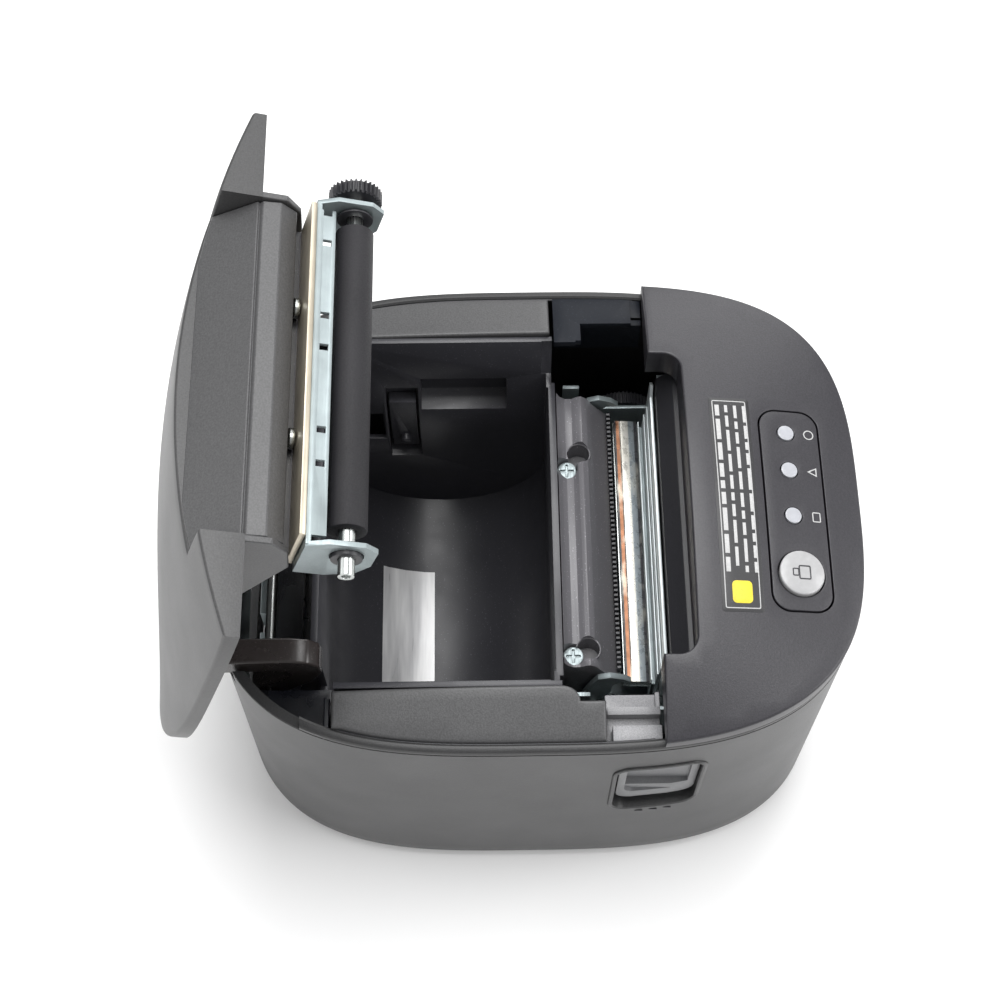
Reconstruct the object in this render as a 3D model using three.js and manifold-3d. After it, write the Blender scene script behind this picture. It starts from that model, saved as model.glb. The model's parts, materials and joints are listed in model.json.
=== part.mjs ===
// Receipt printer for 80 mm paper, modelled with its lid open.
// Millimetres. X runs along the platen roller, the front faces -Y, Z is up.
// The origin is the middle of the bottom plate's underside.
// Lid parts are drawn in their closed place and swung open about the hinge.
import * as THREE from "three";
import { mergeVertices } from "three/addons/utils/BufferGeometryUtils.js";
import Module from "manifold-3d";

const wasm = await Module();
wasm.setup();

// ---- Driving dimensions ----
const RIM = 103; // height of the seam between lower case and the pieces on top
const BAND = 4; // straight side of the lid and front cover above the seam
const CROWN = 13; // rise of the dome above that band
const CREST_Y = -15; // where the dome is highest
const DOME_REAR = 104; // distance from the crest at which the dome runs out
const DOME_FRONT = 82;
const DOME_HALF = 70;
const WALL = 2.6; // moulded wall thickness
const GAP = 0.3; // clearance between neighbouring pieces
const CORNER = 3.2; // superellipse exponent of the outline

const HINGE = { y: 73.9, z: 78.8 };
const ARM_X = 42; // middle of each hinge arm, left and right
const OPEN_DEG = 73;
const PLATEN = { y: -31.3, z: 79.3, radius: 4.8, half: 41 };
const SHAFT_RADIUS = 2;

const MODULE = 0.4; // gear module of the paper feed train
const PLATEN_TEETH = 32;
const DRIVE_TEETH = 44;
const IDLER_TEETH = 32;
const MOTOR_TEETH = 16;
const GEAR_X = [49.9, 53.6];
const STUB_RADIUS = 1.4; // pins that carry the gears
const CUTTER_MODULE = 0.6;
const CUTTER_TEETH = 12;

const EXIT_X = [-47.6, 43]; // paper exit recess, wider on the lever side
const EXIT_FRONT = -44.3;
const COVER_REAR = -35.2;
const LID_FRONT = -34.7;

const FINISHES = {
  shell: { color: 0x4b4c4e, roughness: 0.7, metalness: 0 },
  liner: { color: 0x37383b, roughness: 0.6, metalness: 0 },
  black: { color: 0x1d1e21, roughness: 0.25, metalness: 0 },
  steel: { color: 0xb9bec2, roughness: 0.25, metalness: 1 },
  zinc: { color: 0x9fa9b0, roughness: 0.4, metalness: 1 },
  rubber: { color: 0x2b2a2d, roughness: 0.85, metalness: 0 },
  cream: { color: 0xc9bfae, roughness: 0.5, metalness: 0 },
  board: { color: 0x1f5a3a, roughness: 0.5, metalness: 0 },
  light: { color: 0xe4e6e8, roughness: 0.4, metalness: 0 },
  brass: { color: 0xc8a060, roughness: 0.3, metalness: 1 },
};

// ---- Solids ----
function solid(geometry) {
  const bare = new THREE.BufferGeometry();
  const flat = geometry.index ? geometry.toNonIndexed() : geometry;
  bare.setAttribute("position", flat.getAttribute("position"));
  const merged = mergeVertices(bare, 1e-4);
  return new wasm.Manifold(
    new wasm.Mesh({
      numProp: 3,
      vertProperties: merged.attributes.position.array,
      triVerts: new Uint32Array(merged.index.array),
    }),
  );
}

function geometryOf(body) {
  const mesh = body.getMesh();
  const geometry = new THREE.BufferGeometry();
  const position = new THREE.BufferAttribute(mesh.vertProperties, 3);
  geometry.setAttribute("position", position);
  geometry.setIndex(new THREE.BufferAttribute(mesh.triVerts, 1));
  geometry.computeVertexNormals();
  return geometry;
}

function join(first, ...others) {
  return others.reduce((sum, other) => sum.add(other), first);
}

function cut(first, ...others) {
  return others.reduce((rest, other) => rest.subtract(other), first);
}

function box(x, y, z) {
  const geometry = new THREE.BoxGeometry(x[1] - x[0], y[1] - y[0], z[1] - z[0]);
  const middle = [x, y, z].map((side) => (side[0] + side[1]) / 2);
  return solid(geometry.translate(...middle));
}

function extrude(points, depth) {
  const shape = new THREE.Shape(points.map(([a, b]) => new THREE.Vector2(a, b)));
  const options = { depth, bevelEnabled: false };
  return new THREE.ExtrudeGeometry(shape, options);
}

// Outline in X and Y, standing between two heights.
function prismZ(points, z) {
  return solid(extrude(points, z[1] - z[0]).translate(0, 0, z[0]));
}

// Side profile in Y and Z, running between two places along X.
function prismX(points, x) {
  const turn = new THREE.Matrix4().makeBasis(
    new THREE.Vector3(0, 1, 0),
    new THREE.Vector3(0, 0, 1),
    new THREE.Vector3(1, 0, 0),
  );
  const geometry = extrude(points, x[1] - x[0]).applyMatrix4(turn);
  return solid(geometry.translate(x[0], 0, 0));
}

// Front profile in X and Z, running between two places along Y.
function prismY(points, y) {
  const geometry = extrude(points, y[1] - y[0]).rotateX(Math.PI / 2);
  return solid(geometry.translate(0, y[1], 0));
}

function rodX(radius, x, y, z, sides = 24) {
  const geometry = new THREE.CylinderGeometry(radius, radius, x[1] - x[0], sides);
  return solid(geometry.rotateZ(Math.PI / 2).translate((x[0] + x[1]) / 2, y, z));
}

function rodY(radius, y, x, z, sides = 24) {
  const geometry = new THREE.CylinderGeometry(radius, radius, y[1] - y[0], sides);
  return solid(geometry.translate(x, (y[0] + y[1]) / 2, z));
}

function rodZ(radius, z, x, y, sides = 24, top = radius) {
  const geometry = new THREE.CylinderGeometry(top, radius, z[1] - z[0], sides);
  return solid(geometry.rotateX(Math.PI / 2).translate(x, y, (z[0] + z[1]) / 2));
}

// A rectangle with round corners, as points.
function roundedRectangle(a, b, radius, steps = 4) {
  const points = [];
  const corners = [
    [a[1] - radius, b[1] - radius, 0],
    [a[0] + radius, b[1] - radius, 90],
    [a[0] + radius, b[0] + radius, 180],
    [a[1] - radius, b[0] + radius, 270],
  ];
  for (const [ca, cb, start] of corners) {
    for (let i = 0; i <= steps; i += 1) {
      const angle = THREE.MathUtils.degToRad(start + (90 * i) / steps);
      points.push([ca + radius * Math.cos(angle), cb + radius * Math.sin(angle)]);
    }
  }
  return points;
}

// The case narrows slightly from the bottom edge up to the seam.
function outline(height, inset = 0, count = 60) {
  const rise = Math.min(height, RIM) / RIM;
  const half = 73.2 - 1.8 * rise - inset;
  const front = 94.1 - 1.6 * rise - inset;
  const rear = 90.4 - 1.6 * rise - inset;
  const points = [];
  for (let i = 0; i < count; i += 1) {
    const angle = (2 * Math.PI * (i + 0.5)) / count;
    const c = Math.cos(angle);
    const s = Math.sin(angle);
    const x = half * Math.sign(c) * Math.abs(c) ** (2 / CORNER);
    const reach = s > 0 ? rear : front;
    points.push([x, reach * Math.sign(s) * Math.abs(s) ** (2 / CORNER)]);
  }
  return points;
}

// A solid through a stack of outlines with the same number of points.
function loft(rings) {
  const positions = [];
  const faces = [];
  const count = rings[0].points.length;
  for (const ring of rings) {
    for (const [x, y] of ring.points) positions.push(x, y, ring.z);
  }
  for (let level = 0; level < rings.length - 1; level += 1) {
    for (let i = 0; i < count; i += 1) {
      const a = level * count + i;
      const b = level * count + ((i + 1) % count);
      faces.push(a, b, b + count, a, b + count, a + count);
    }
  }
  for (const [level, z] of [[0, rings[0].z], [rings.length - 1, rings.at(-1).z]]) {
    const middle = positions.length / 3;
    positions.push(0, 0, z);
    for (let i = 0; i < count; i += 1) {
      const a = level * count + i;
      const b = level * count + ((i + 1) % count);
      if (level === 0) faces.push(middle, b, a);
      else faces.push(middle, a, b);
    }
  }
  const geometry = new THREE.BufferGeometry();
  geometry.setAttribute("position", new THREE.Float32BufferAttribute(positions, 3));
  geometry.setIndex(faces);
  return solid(geometry);
}

function domeHeight(x, y) {
  const run = y > CREST_Y ? DOME_REAR : DOME_FRONT;
  const along = 1 - ((y - CREST_Y) / run) ** 2;
  const across = 1 - (x / DOME_HALF) ** 2;
  return RIM + BAND + CROWN * across * along;
}

// Everything below the dome, moved up or down by an offset.
function underDome(offset, x = [-77, 77], y = [-97, 93], bottom = 60, cell = 13) {
  const columns = Math.ceil((x[1] - x[0]) / cell);
  const rows = Math.ceil((y[1] - y[0]) / cell);
  const top = (i, j) => {
    const px = x[0] + ((x[1] - x[0]) * i) / columns;
    const py = y[0] + ((y[1] - y[0]) * j) / rows;
    return [px, py, domeHeight(px, py) + offset];
  };
  const triangles = [];
  const low = (p) => [p[0], p[1], bottom];
  const quad = (a, b, c, d) => triangles.push(a, b, c, a, c, d);
  for (let i = 0; i < columns; i += 1) {
    for (let j = 0; j < rows; j += 1) {
      const [a, b, c, d] = [top(i, j), top(i + 1, j), top(i + 1, j + 1), top(i, j + 1)];
      quad(a, b, c, d);
      quad(low(a), low(d), low(c), low(b));
    }
  }
  for (let i = 0; i < columns; i += 1) {
    const [a, b] = [top(i, 0), top(i + 1, 0)];
    const [c, d] = [top(i, rows), top(i + 1, rows)];
    quad(low(a), low(b), b, a);
    quad(low(d), low(c), c, d);
  }
  for (let j = 0; j < rows; j += 1) {
    const [a, b] = [top(0, j), top(0, j + 1)];
    const [c, d] = [top(columns, j), top(columns, j + 1)];
    quad(low(b), low(a), a, b);
    quad(low(c), low(d), d, c);
  }
  const geometry = new THREE.BufferGeometry();
  const position = new THREE.Float32BufferAttribute(triangles.flat(), 3);
  geometry.setAttribute("position", position);
  return solid(geometry);
}

// A plate that follows the dome between two depths below its surface.
function domePlate(points, upper, lower, x, y, cell = 13) {
  const reach = underDome(upper, x, y, 60, cell);
  const core = underDome(lower, x, y, 59, cell);
  return cut(reach, core).intersect(prismZ(points, [70, 140]));
}

// A spur gear about an axis along X. Phase turns it, in teeth.
function gearPoints(teeth, module, phase) {
  const points = [];
  const pitch = (module * teeth) / 2;
  const step = (2 * Math.PI) / teeth;
  const flanks = [
    [-0.34, pitch - 1.2 * module],
    [-0.13, pitch + 0.95 * module],
    [0.13, pitch + 0.95 * module],
    [0.34, pitch - 1.2 * module],
  ];
  for (let i = 0; i < teeth; i += 1) {
    for (const [share, radius] of flanks) {
      const angle = (i + phase + share * 0.86) * step;
      points.push([radius * Math.cos(angle), radius * Math.sin(angle)]);
    }
  }
  return points;
}

function gearX(teeth, x, y, z, phase, bore) {
  const points = gearPoints(teeth, MODULE, phase).map(([a, b]) => [a + y, b + z]);
  return cut(prismX(points, x), rodX(bore, [x[0] - 1, x[1] + 1], y, z, 24));
}

// ---- Nodes ----
function node(name, body, finish) {
  const look = FINISHES[finish];
  const material = new THREE.MeshStandardMaterial({ name, ...look });
  const mesh = new THREE.Mesh(geometryOf(body), material);
  mesh.name = name;
  return mesh;
}

const printer = new THREE.Group();
printer.name = "receipt_printer";
const add = (name, body, finish) => printer.add(node(name, body, finish));

const lid = new THREE.Group();
lid.name = "lid";
lid.position.set(0, HINGE.y, HINGE.z);
lid.rotation.x = THREE.MathUtils.degToRad(-OPEN_DEG);
printer.add(lid);

function addToLid(name, body, finish) {
  const mesh = node(name, body, finish);
  mesh.geometry.translate(0, -HINGE.y, -HINGE.z);
  lid.add(mesh);
}

// ---- Lower case ----
const caseOuter = loft([
  { z: 0.4, points: outline(0, 3) },
  { z: 1.6, points: outline(1, 1.3) },
  { z: 4, points: outline(4, 0) },
  { z: RIM - 1.4, points: outline(RIM, 0) },
  { z: RIM - 0.4, points: outline(RIM, 0.5) },
  { z: RIM, points: outline(RIM, 1.4) },
]);
const caseInner = loft([
  { z: -2, points: outline(0, WALL + 1) },
  { z: 3.4, points: outline(3.4, WALL) },
  { z: RIM + 2, points: outline(RIM, WALL) },
]);
const leverWindow = roundedRectangle([-48, -23.2], [49.6, 86.6], 5);
const socketWindow = roundedRectangle([-41, 41], [10.2, 29], 2);
const rearRelief = box([-80, 80], [62, 95], [RIM - 1.8, RIM + 3]);
const hingeNotches = [-1, 1].map((side) => {
  const x = [side * ARM_X - 4.8, side * ARM_X + 4.8];
  return box(x, [70, 95], [91, RIM + 3]);
});
const screwBoss = (x, y) => rodZ(3.6, [3, 14], x, y, 12);
const screwPlaces = [[-61, -38], [61, -38], [-61, 34], [61, 34]];
const bosses = screwPlaces.map(([x, y]) => {
  const web = box(
    x < 0 ? [-71, x] : [x, 71],
    [y - 1.2, y + 1.2],
    [3, 14],
  ).intersect(caseOuter);
  const bore = rodZ(1.6, [2, 12], x, y, 8);
  return cut(join(screwBoss(x, y), web), bore);
});
add(
  "lower_case",
  join(
    cut(
      caseOuter,
      caseInner,
      prismX(leverWindow, [-80, -60]),
      prismY(socketWindow, [80, 96]),
      box([64, 80], [-42.8, -29.2], [13.6, 34.4]),
      rearRelief,
      ...hingeNotches,
    ),
    ...bosses,
  ),
  "shell",
);

const FEET = [[-50, -62], [50, -62], [-50, 60], [50, 60]];
const bottomOutline = outline(0, WALL + 1.4);
const platePockets = FEET.map(([x, y]) => rodZ(6.3, [-1, 1.2], x, y, 16));
const plateHoles = screwPlaces.map(([x, y]) => {
  const hole = rodZ(1.7, [-1, 3], x, y, 8);
  return join(hole, rodZ(3.1, [-1, 1.3], x, y, 12));
});
add(
  "bottom_plate",
  cut(prismZ(bottomOutline, [0, 2.5]), ...platePockets, ...plateHoles),
  "black",
);
FEET.forEach(([x, y], index) => {
  const foot = join(
    rodZ(5.9, [-0.2, 0.9], x, y, 16),
    rodZ(5.2, [-2.4, -0.2], x, y, 16, 5.9),
  );
  add("rubber_foot_" + (index + 1), foot, "rubber");
});
screwPlaces.forEach(([x, y], index) => {
  const screw = join(rodZ(2.7, [0.1, 1.1], x, y, 12), rodZ(1.2, [1, 9], x, y, 8));
  add("case_screw_" + (index + 1), screw, "zinc");
});

// ---- Front cover with its control panel ----
const exitShape = roundedRectangle(EXIT_X, [EXIT_FRONT, -20], 5);
const exitLiner = roundedRectangle(
  [EXIT_X[0] - 2, EXIT_X[1] + 2],
  [EXIT_FRONT - 2, -20],
  7,
);
const PANEL = { x: [-35.6, 24.4], y: [-82, -65.2] };
const LABEL = { x: [-36.5, 27.6], y: [-62.7, -51.2] };
const LIGHTS = [[17.3, -72.7], [5.6, -72.7], [-8.2, -72.7]];
const BUTTON = { x: -25.1, y: -73.7, radius: 6.3 };

const coverOutline = prismZ(outline(RIM), [RIM + GAP, 140]);
const coverFront = box([-80, 80], [-100, COVER_REAR], [60, 140]);
const coverDome = underDome(0).intersect(coverOutline).intersect(coverFront);
const coverHollow = underDome(-WALL)
  .intersect(prismZ(outline(RIM, WALL), [60, 140]))
  .intersect(box([-80, 80], [-100, COVER_REAR + 5], [60, 140]));
const chute = prismZ(exitLiner, [RIM - 2, 140])
  .intersect(coverFront)
  .intersect(underDome(-0.5));
const chuteRelief = box([-50, 50], [-39.6, -30], [RIM - 3, 140]);
const inlay = (place, radius, depth, margin) => {
  const points = roundedRectangle(
    [place.x[0] - margin, place.x[1] + margin],
    [place.y[0] - margin, place.y[1] + margin],
    radius + margin,
  );
  const area = [
    [place.x[0] - 3, place.x[1] + 3],
    [place.y[0] - 3, place.y[1] + 3],
  ];
  return domePlate(points, depth[0], depth[1], ...area, 8);
};
add(
  "front_cover",
  cut(
    join(cut(coverDome, coverHollow), cut(chute, chuteRelief)),
    prismZ(exitShape, [60, 140]),
    cut(inlay(PANEL, 5, [3, -0.5], GAP), inlay(PANEL, 5, [4, -0.9], -GAP)),
    inlay(LABEL, 0.8, [3, -0.5], GAP),
    ...LIGHTS.map(([x, y]) => rodZ(2.6, [90, 140], x, y, 20)),
    rodZ(BUTTON.radius + 0.3, [90, 140], BUTTON.x, BUTTON.y, 32),
  ),
  "shell",
);
add("notice_label", inlay(LABEL, 0.8, [0.1, -0.3], 0), "black");
LIGHTS.forEach(([x, y], index) => {
  const near = [[x - 4, x + 4], [y - 4, y + 4]];
  const pipe = rodZ(2.3, [101.5, 130], x, y, 20).intersect(
    underDome(0.4, ...near, 60, 8),
  );
  add("status_light_" + (index + 1), pipe, "light");
});
const buttonArea = [
  [BUTTON.x - 9, BUTTON.x + 9],
  [BUTTON.y - 9, BUTTON.y + 9],
];
const buttonCap = rodZ(BUTTON.radius, [104.5, 130], BUTTON.x, BUTTON.y, 32);
const buttonStem = rodZ(2, [101.5, 106], BUTTON.x, BUTTON.y, 16);
add(
  "feed_button",
  join(buttonCap.intersect(underDome(1.2, ...buttonArea, 60, 9)), buttonStem),
  "light",
);

// ---- Ledges and decks beside the paper bucket ----
const LEDGE = { inner: 54, upper: -4.5, lower: -6.9 };
const ledgeArea = [[-72, 72], [-90, 90]];
const rimInside = outline(RIM, WALL + 0.4);
const ledgePlate = domePlate(
  rimInside,
  LEDGE.upper,
  LEDGE.lower,
  ...ledgeArea,
);
const ledgeSkirt = (side) => {
  const edge = [side * LEDGE.inner, side * (LEDGE.inner + 1.8)].sort((a, b) => a - b);
  return box(edge, [-7.5, 53.5], [96, 130]).intersect(underDome(LEDGE.upper));
};
const farLedge = ledgePlate.intersect(
  box([LEDGE.inner, 72], [-7.6, 53.5], [60, 140]),
);
const nearLedgeArea = prismZ(
  [
    [-72, 53.5],
    [-72, -19.8],
    [-58, -19.8],
    [-58, -13],
    [-57.2, -10],
    [-54, -7.8],
    [-54, 53.5],
  ],
  [60, 140],
);
add("right_ledge", join(farLedge, ledgeSkirt(1)), "shell");
add("left_ledge", join(ledgePlate.intersect(nearLedgeArea), ledgeSkirt(-1)), "shell");

const gearSlot = box([49, 57.6], [-36, -16.6], [60, 140]);
add(
  "gear_side_deck",
  cut(
    join(
      ledgePlate.intersect(box([50.2, 72], [-34.8, -8.8], [60, 140])),
      box([59, 60.8], [-34.8, -8.8], [90, 104]),
    ),
    gearSlot,
    box([50, 50.8], [-40, -15], [60, 140]),
    box([50, 80], [-36, -31.6], [RIM - 0.2, 140]),
  ),
  "black",
);
const leverDeckOutline = prismZ(rimInside, [60, 140]).intersect(
  box([-72, -53], [-34.8, -20.2], [60, 140]),
);
add(
  "lever_side_deck",
  join(
    box([-72, -53], [-34.8, -20.2], [93.5, 95.3]),
    box([-72, -63.4], [-34.8, -21.6], [95, 101]),
    box([-59.8, -57.6], [-34.8, -20.4], [95, 99]),
    box([-57.6, -53], [-34.8, -33.6], [95, 97.5]),
  ).intersect(leverDeckOutline),
  "liner",
);

// ---- Paper bucket ----
const BUCKET = { front: -7.3, rear: 59, half: 44.5, top: 106, flare: 52.2 };
function bucketProfile(grow, topHeight) {
  const front = BUCKET.front - grow;
  const rear = BUCKET.rear + grow;
  const radius = (rear - front) / 2;
  const middle = (rear + front) / 2;
  const points = [[front, topHeight]];
  for (let i = 0; i <= 16; i += 1) {
    const angle = Math.PI + (Math.PI * i) / 16;
    points.push([middle + radius * Math.cos(angle), 47 + radius * Math.sin(angle)]);
  }
  points.push([rear, topHeight]);
  return points;
}
const flareProfile = (grow) => [
  [-BUCKET.half - grow, 68],
  [BUCKET.half + grow, 68],
  [BUCKET.flare + grow, BUCKET.top],
  [-BUCKET.flare - grow, BUCKET.top],
];
const bucketOuter = join(
  prismX(bucketProfile(2, 92), [-BUCKET.half - 1.5, BUCKET.half + 1.5]),
  prismY(flareProfile(1.5), [BUCKET.front - 1, 53]),
);
const bucketCavity = join(
  prismX(bucketProfile(0, 96), [-BUCKET.half, BUCKET.half]),
  prismY(
    flareProfile(0).map(([x, z]) => [x, z > 70 ? z + 1 : z]),
    [BUCKET.front + 0.6, 55],
  ),
  prismY(flareProfile(0), [BUCKET.front - 3, BUCKET.front + 2]).intersect(
    box([-60, 60], [-20, 20], [92, 110]),
  ),
);
const armPocket = (side) => {
  const x = [side * ARM_X - 4.8, side * ARM_X + 4.8];
  return box(x, [42.5, 70], [60, 110]);
};
const rollShelf = box([44, 53.6], [5, 31], [76, 90]);
const sensorPocket = box([44, 50.5], [31.8, 41.6], [48, 86]);
const shelfWalls = join(
  box([44.6, 55], [3.5, 32.5], [73.5, 89]),
  box([44.6, 52], [30.3, 43.1], [46.5, 86]),
);
add(
  "paper_bucket",
  cut(
    join(bucketOuter, shelfWalls),
    bucketCavity,
    rollShelf,
    sensorPocket,
    armPocket(-1),
    armPocket(1),
  ),
  "black",
);
add(
  "near_end_sensor",
  join(
    box([46.4, 50.2], [32.6, 40.8], [52, 80]),
    rodX(1.6, [44.4, 46.5], 36.6, 58, 16),
  ),
  "liner",
);
// Thin bright plate that follows the curved floor.
const floorBand = cut(
  prismX(bucketProfile(-0.15, 60), [-30, 17.5]),
  prismX(bucketProfile(-0.55, 70), [-31, 18.5]),
);
add(
  "bucket_plate",
  floorBand.intersect(box([-40, 40], [29, 45.5], [5, 30])),
  "steel",
);

// ---- Paper guide in front of the bucket ----
const GUIDE_WELLS = [[24, -15.8], [-37, -16.6]];
const GUIDE_SCREWS = [[19.2, -12.3], [-38.6, -12.4]];
const guideProfile = [
  [-9.6, 66],
  [-9.6, 92.3],
  [-10.6, 90],
  [-12.2, 88.4],
  [-14.2, 88.4],
  [-15.8, 89.6],
  [-17, 89.9],
  [-18.6, 88.6],
  [-20.6, 84.6],
  [-25.3, 78],
  [-25.3, 75],
  [-22, 66],
];
add(
  "paper_guide",
  cut(
    prismX(guideProfile, [-42.4, 42.4]),
    ...GUIDE_WELLS.map(([x, y]) => rodZ(3.4, [80, 100], x, y, 28)),
    ...GUIDE_SCREWS.map(([x, y]) => rodZ(3.2, [84.6, 100], x, y, 20)),
    ...GUIDE_SCREWS.map(([x, y]) => rodZ(1.6, [60, 100], x, y, 12)),
  ),
  "black",
);
GUIDE_SCREWS.forEach(([x, y], index) => {
  const slot = join(
    box([x - 2, x + 2], [y - 0.35, y + 0.35], [86.2, 88]),
    box([x - 0.35, x + 0.35], [y - 2, y + 2], [86.2, 88]),
  );
  const screw = join(rodZ(2.8, [84.9, 87], x, y, 20), rodZ(1.3, [62, 85], x, y, 12));
  add("guide_screw_" + (index + 1), cut(screw, slot), "zinc");
});

// ---- Print head, its front edge tipped down by a few degrees ----
const HEAD = { half: 42, touch: PLATEN.z - PLATEN.radius - 0.12 };
const HEAD_TILT = THREE.MathUtils.degToRad(7);
function headPlate(y, depth) {
  const corners = [
    [y[0], -depth[0]],
    [y[0], -depth[1]],
    [y[1], -depth[1]],
    [y[1], -depth[0]],
  ];
  const points = corners.map(([a, b]) => [
    PLATEN.y + a * Math.cos(HEAD_TILT) - b * Math.sin(HEAD_TILT),
    HEAD.touch + a * Math.sin(HEAD_TILT) + b * Math.cos(HEAD_TILT),
  ]);
  return prismX(points, [-HEAD.half, HEAD.half]);
}
add("print_head", headPlate([-3.4, 3.6], [0, 1]), "cream");
add("heat_sink", headPlate([-4.2, 3.9], [1.15, 4.2]), "steel");

// ---- Mechanism frame ----
const sidePlate = [
  [-64, 48],
  [-12, 48],
  [-12, 84],
  [-17, 84],
  [-17, 71],
  [-40, 71],
  [-40, 90],
  [-64, 90],
];
const driveGear = { y: PLATEN.y, z: PLATEN.z - 16.2 };
const idlerGear = {
  y: driveGear.y - (MODULE * (DRIVE_TEETH + IDLER_TEETH)) / 2 - 0.05,
  z: driveGear.z,
};
const motorGear = {
  y: idlerGear.y - (MODULE * (IDLER_TEETH + MOTOR_TEETH)) / 2 - 0.05,
  z: driveGear.z,
};
const LATCH = { y: -18.6, z: 62 };
const frameSide = (side) => {
  const x = [side * 48.2, side * 49.4].sort((a, b) => a - b);
  return prismX(sidePlate, x);
};
const frameStub = ({ y, z }) => rodX(STUB_RADIUS, [48.4, 54.2], y, z, 16);
add(
  "mechanism_frame",
  cut(
    join(
      frameSide(-1),
      frameSide(1),
      box([-49, 49], [-64, -12], [48, 49.4]),
      frameStub(driveGear),
      frameStub(idlerGear),
    ),
    rodX(2.2, [-55, 47.9], LATCH.y, LATCH.z, 20),
    rodX(2.2, [48, 50], LATCH.y, LATCH.z, 20),
    rodX(1.6, [45, 52], motorGear.y, motorGear.z, 16),
  ),
  "zinc",
);

// The pointed guide plate that the paper climbs past.
add(
  "front_guide_plate",
  prismY(
    [
      [-45.4, 71.5],
      [45.4, 71.5],
      [45.4, 92.6],
      [43.6, 94.4],
      [41.4, 90.6],
      [-41.4, 90.6],
      [-43.6, 93],
      [-45.4, 91.4],
    ],
    [-38.4, -37.5],
  ),
  "steel",
);

// ---- Cutter ----
const BLADE = { z: [91.9, 93.1], edge: -39.2, rear: -60, half: 40.6 };
const cutterPitch = (CUTTER_MODULE * CUTTER_TEETH) / 2;
const cutterAxis = { x: 0, y: -50 };
const bladeShape = [
  [-BLADE.half, BLADE.rear],
  [BLADE.half, BLADE.rear],
  [BLADE.half, BLADE.edge],
  [2, BLADE.edge - 2.4],
  [-2, BLADE.edge - 2.4],
  [-BLADE.half, BLADE.edge],
];
const rackLine = cutterAxis.x - cutterPitch - 0.05;
const WINDOW = [-58.9, -44.8];
function rackTeeth() {
  const root = rackLine - 1.2 * CUTTER_MODULE;
  const tip = rackLine + 0.95 * CUTTER_MODULE;
  const points = [[rackLine - 3, WINDOW[0]], [root, WINDOW[0]]];
  const step = Math.PI * CUTTER_MODULE;
  for (let i = -4; i <= 1; i += 1) {
    const y = cutterAxis.y + (i + 0.5) * step;
    points.push([root, y - 0.3 * step]);
    points.push([tip, y - 0.11 * step]);
    points.push([tip, y + 0.11 * step]);
    points.push([root, y + 0.3 * step]);
  }
  points.push([root, WINDOW[1]]);
  points.push([rackLine - 3, WINDOW[1]]);
  return points;
}
const bladeWindow = box(
  [rackLine - 2, cutterAxis.x + cutterPitch + 1.2],
  WINDOW,
  [91, 94],
);
add(
  "moving_blade",
  join(cut(prismZ(bladeShape, BLADE.z), bladeWindow), prismZ(rackTeeth(), BLADE.z)),
  "steel",
);
const cutterPinion = gearPoints(CUTTER_TEETH, CUTTER_MODULE, 0).map(([a, b]) => [
  a + cutterAxis.x,
  b + cutterAxis.y,
]);
add(
  "cutter_pinion",
  cut(
    join(
      prismZ(cutterPinion, [91.9, 93.2]),
      rodZ(2.4, [90.2, 92], cutterAxis.x, cutterAxis.y, 20),
    ),
    rodZ(1.05, [89, 95], cutterAxis.x, cutterAxis.y, 16),
  ),
  "brass",
);
add(
  "cutter_motor",
  join(
    rodZ(9, [79.2, 87], cutterAxis.x, cutterAxis.y, 32),
    rodZ(1, [86.8, 93], cutterAxis.x, cutterAxis.y, 16),
  ),
  "zinc",
);
const cutterTop = prismX(
  [
    [-39, 95.2],
    [-43.4, 100.3],
    [-62, 100.3],
    [-62, 88.4],
    [-64, 88.4],
    [-64, 87.4],
    [-39, 87.4],
  ],
  [-45.3, 45.3],
);
const bladeRoom = box([-41.2, 41.2], [-61.5, -38], [91.5, 93.6]);
const gearRoom = rodZ(4.8, [87.3, 94.6], cutterAxis.x, cutterAxis.y, 28);
add("cutter_housing", cut(cutterTop, bladeRoom, gearRoom), "liner");

// ---- Feed motor and gears ----
add(
  "feed_motor",
  join(
    rodX(13, [24, 46.5], motorGear.y, motorGear.z, 36),
    rodX(STUB_RADIUS, [46, 53.4], motorGear.y, motorGear.z, 16),
  ),
  "zinc",
);
// The idler is turned by half a tooth so that it meshes on both sides.
const trainGear = (name, teeth, { y, z }, phase, finish) => {
  add(name, gearX(teeth, GEAR_X, y, z, phase, STUB_RADIUS + 0.07), finish);
};
trainGear("drive_gear", DRIVE_TEETH, driveGear, 0, "black");
trainGear("idler_gear", IDLER_TEETH, idlerGear, 0.5, "light");
trainGear("motor_pinion", MOTOR_TEETH, motorGear, 0, "brass");

// ---- Latch hooks on their cross shaft, and the OPEN lever ----
const hookProfile = [
  [LATCH.y - 3.4, LATCH.z - 3.4],
  [LATCH.y + 3.4, LATCH.z - 3.4],
  [LATCH.y + 3.6, LATCH.z + 8],
  [-17.6, 80],
  [-19.2, 84.6],
  [-22.6, 86],
  [-26.4, 84.4],
  [-28.7, 81.9],
  [-25.2, 81.7],
  [-23.4, 79.4],
  [-23.4, 74],
  [LATCH.y - 3.6, LATCH.z + 8],
];
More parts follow.
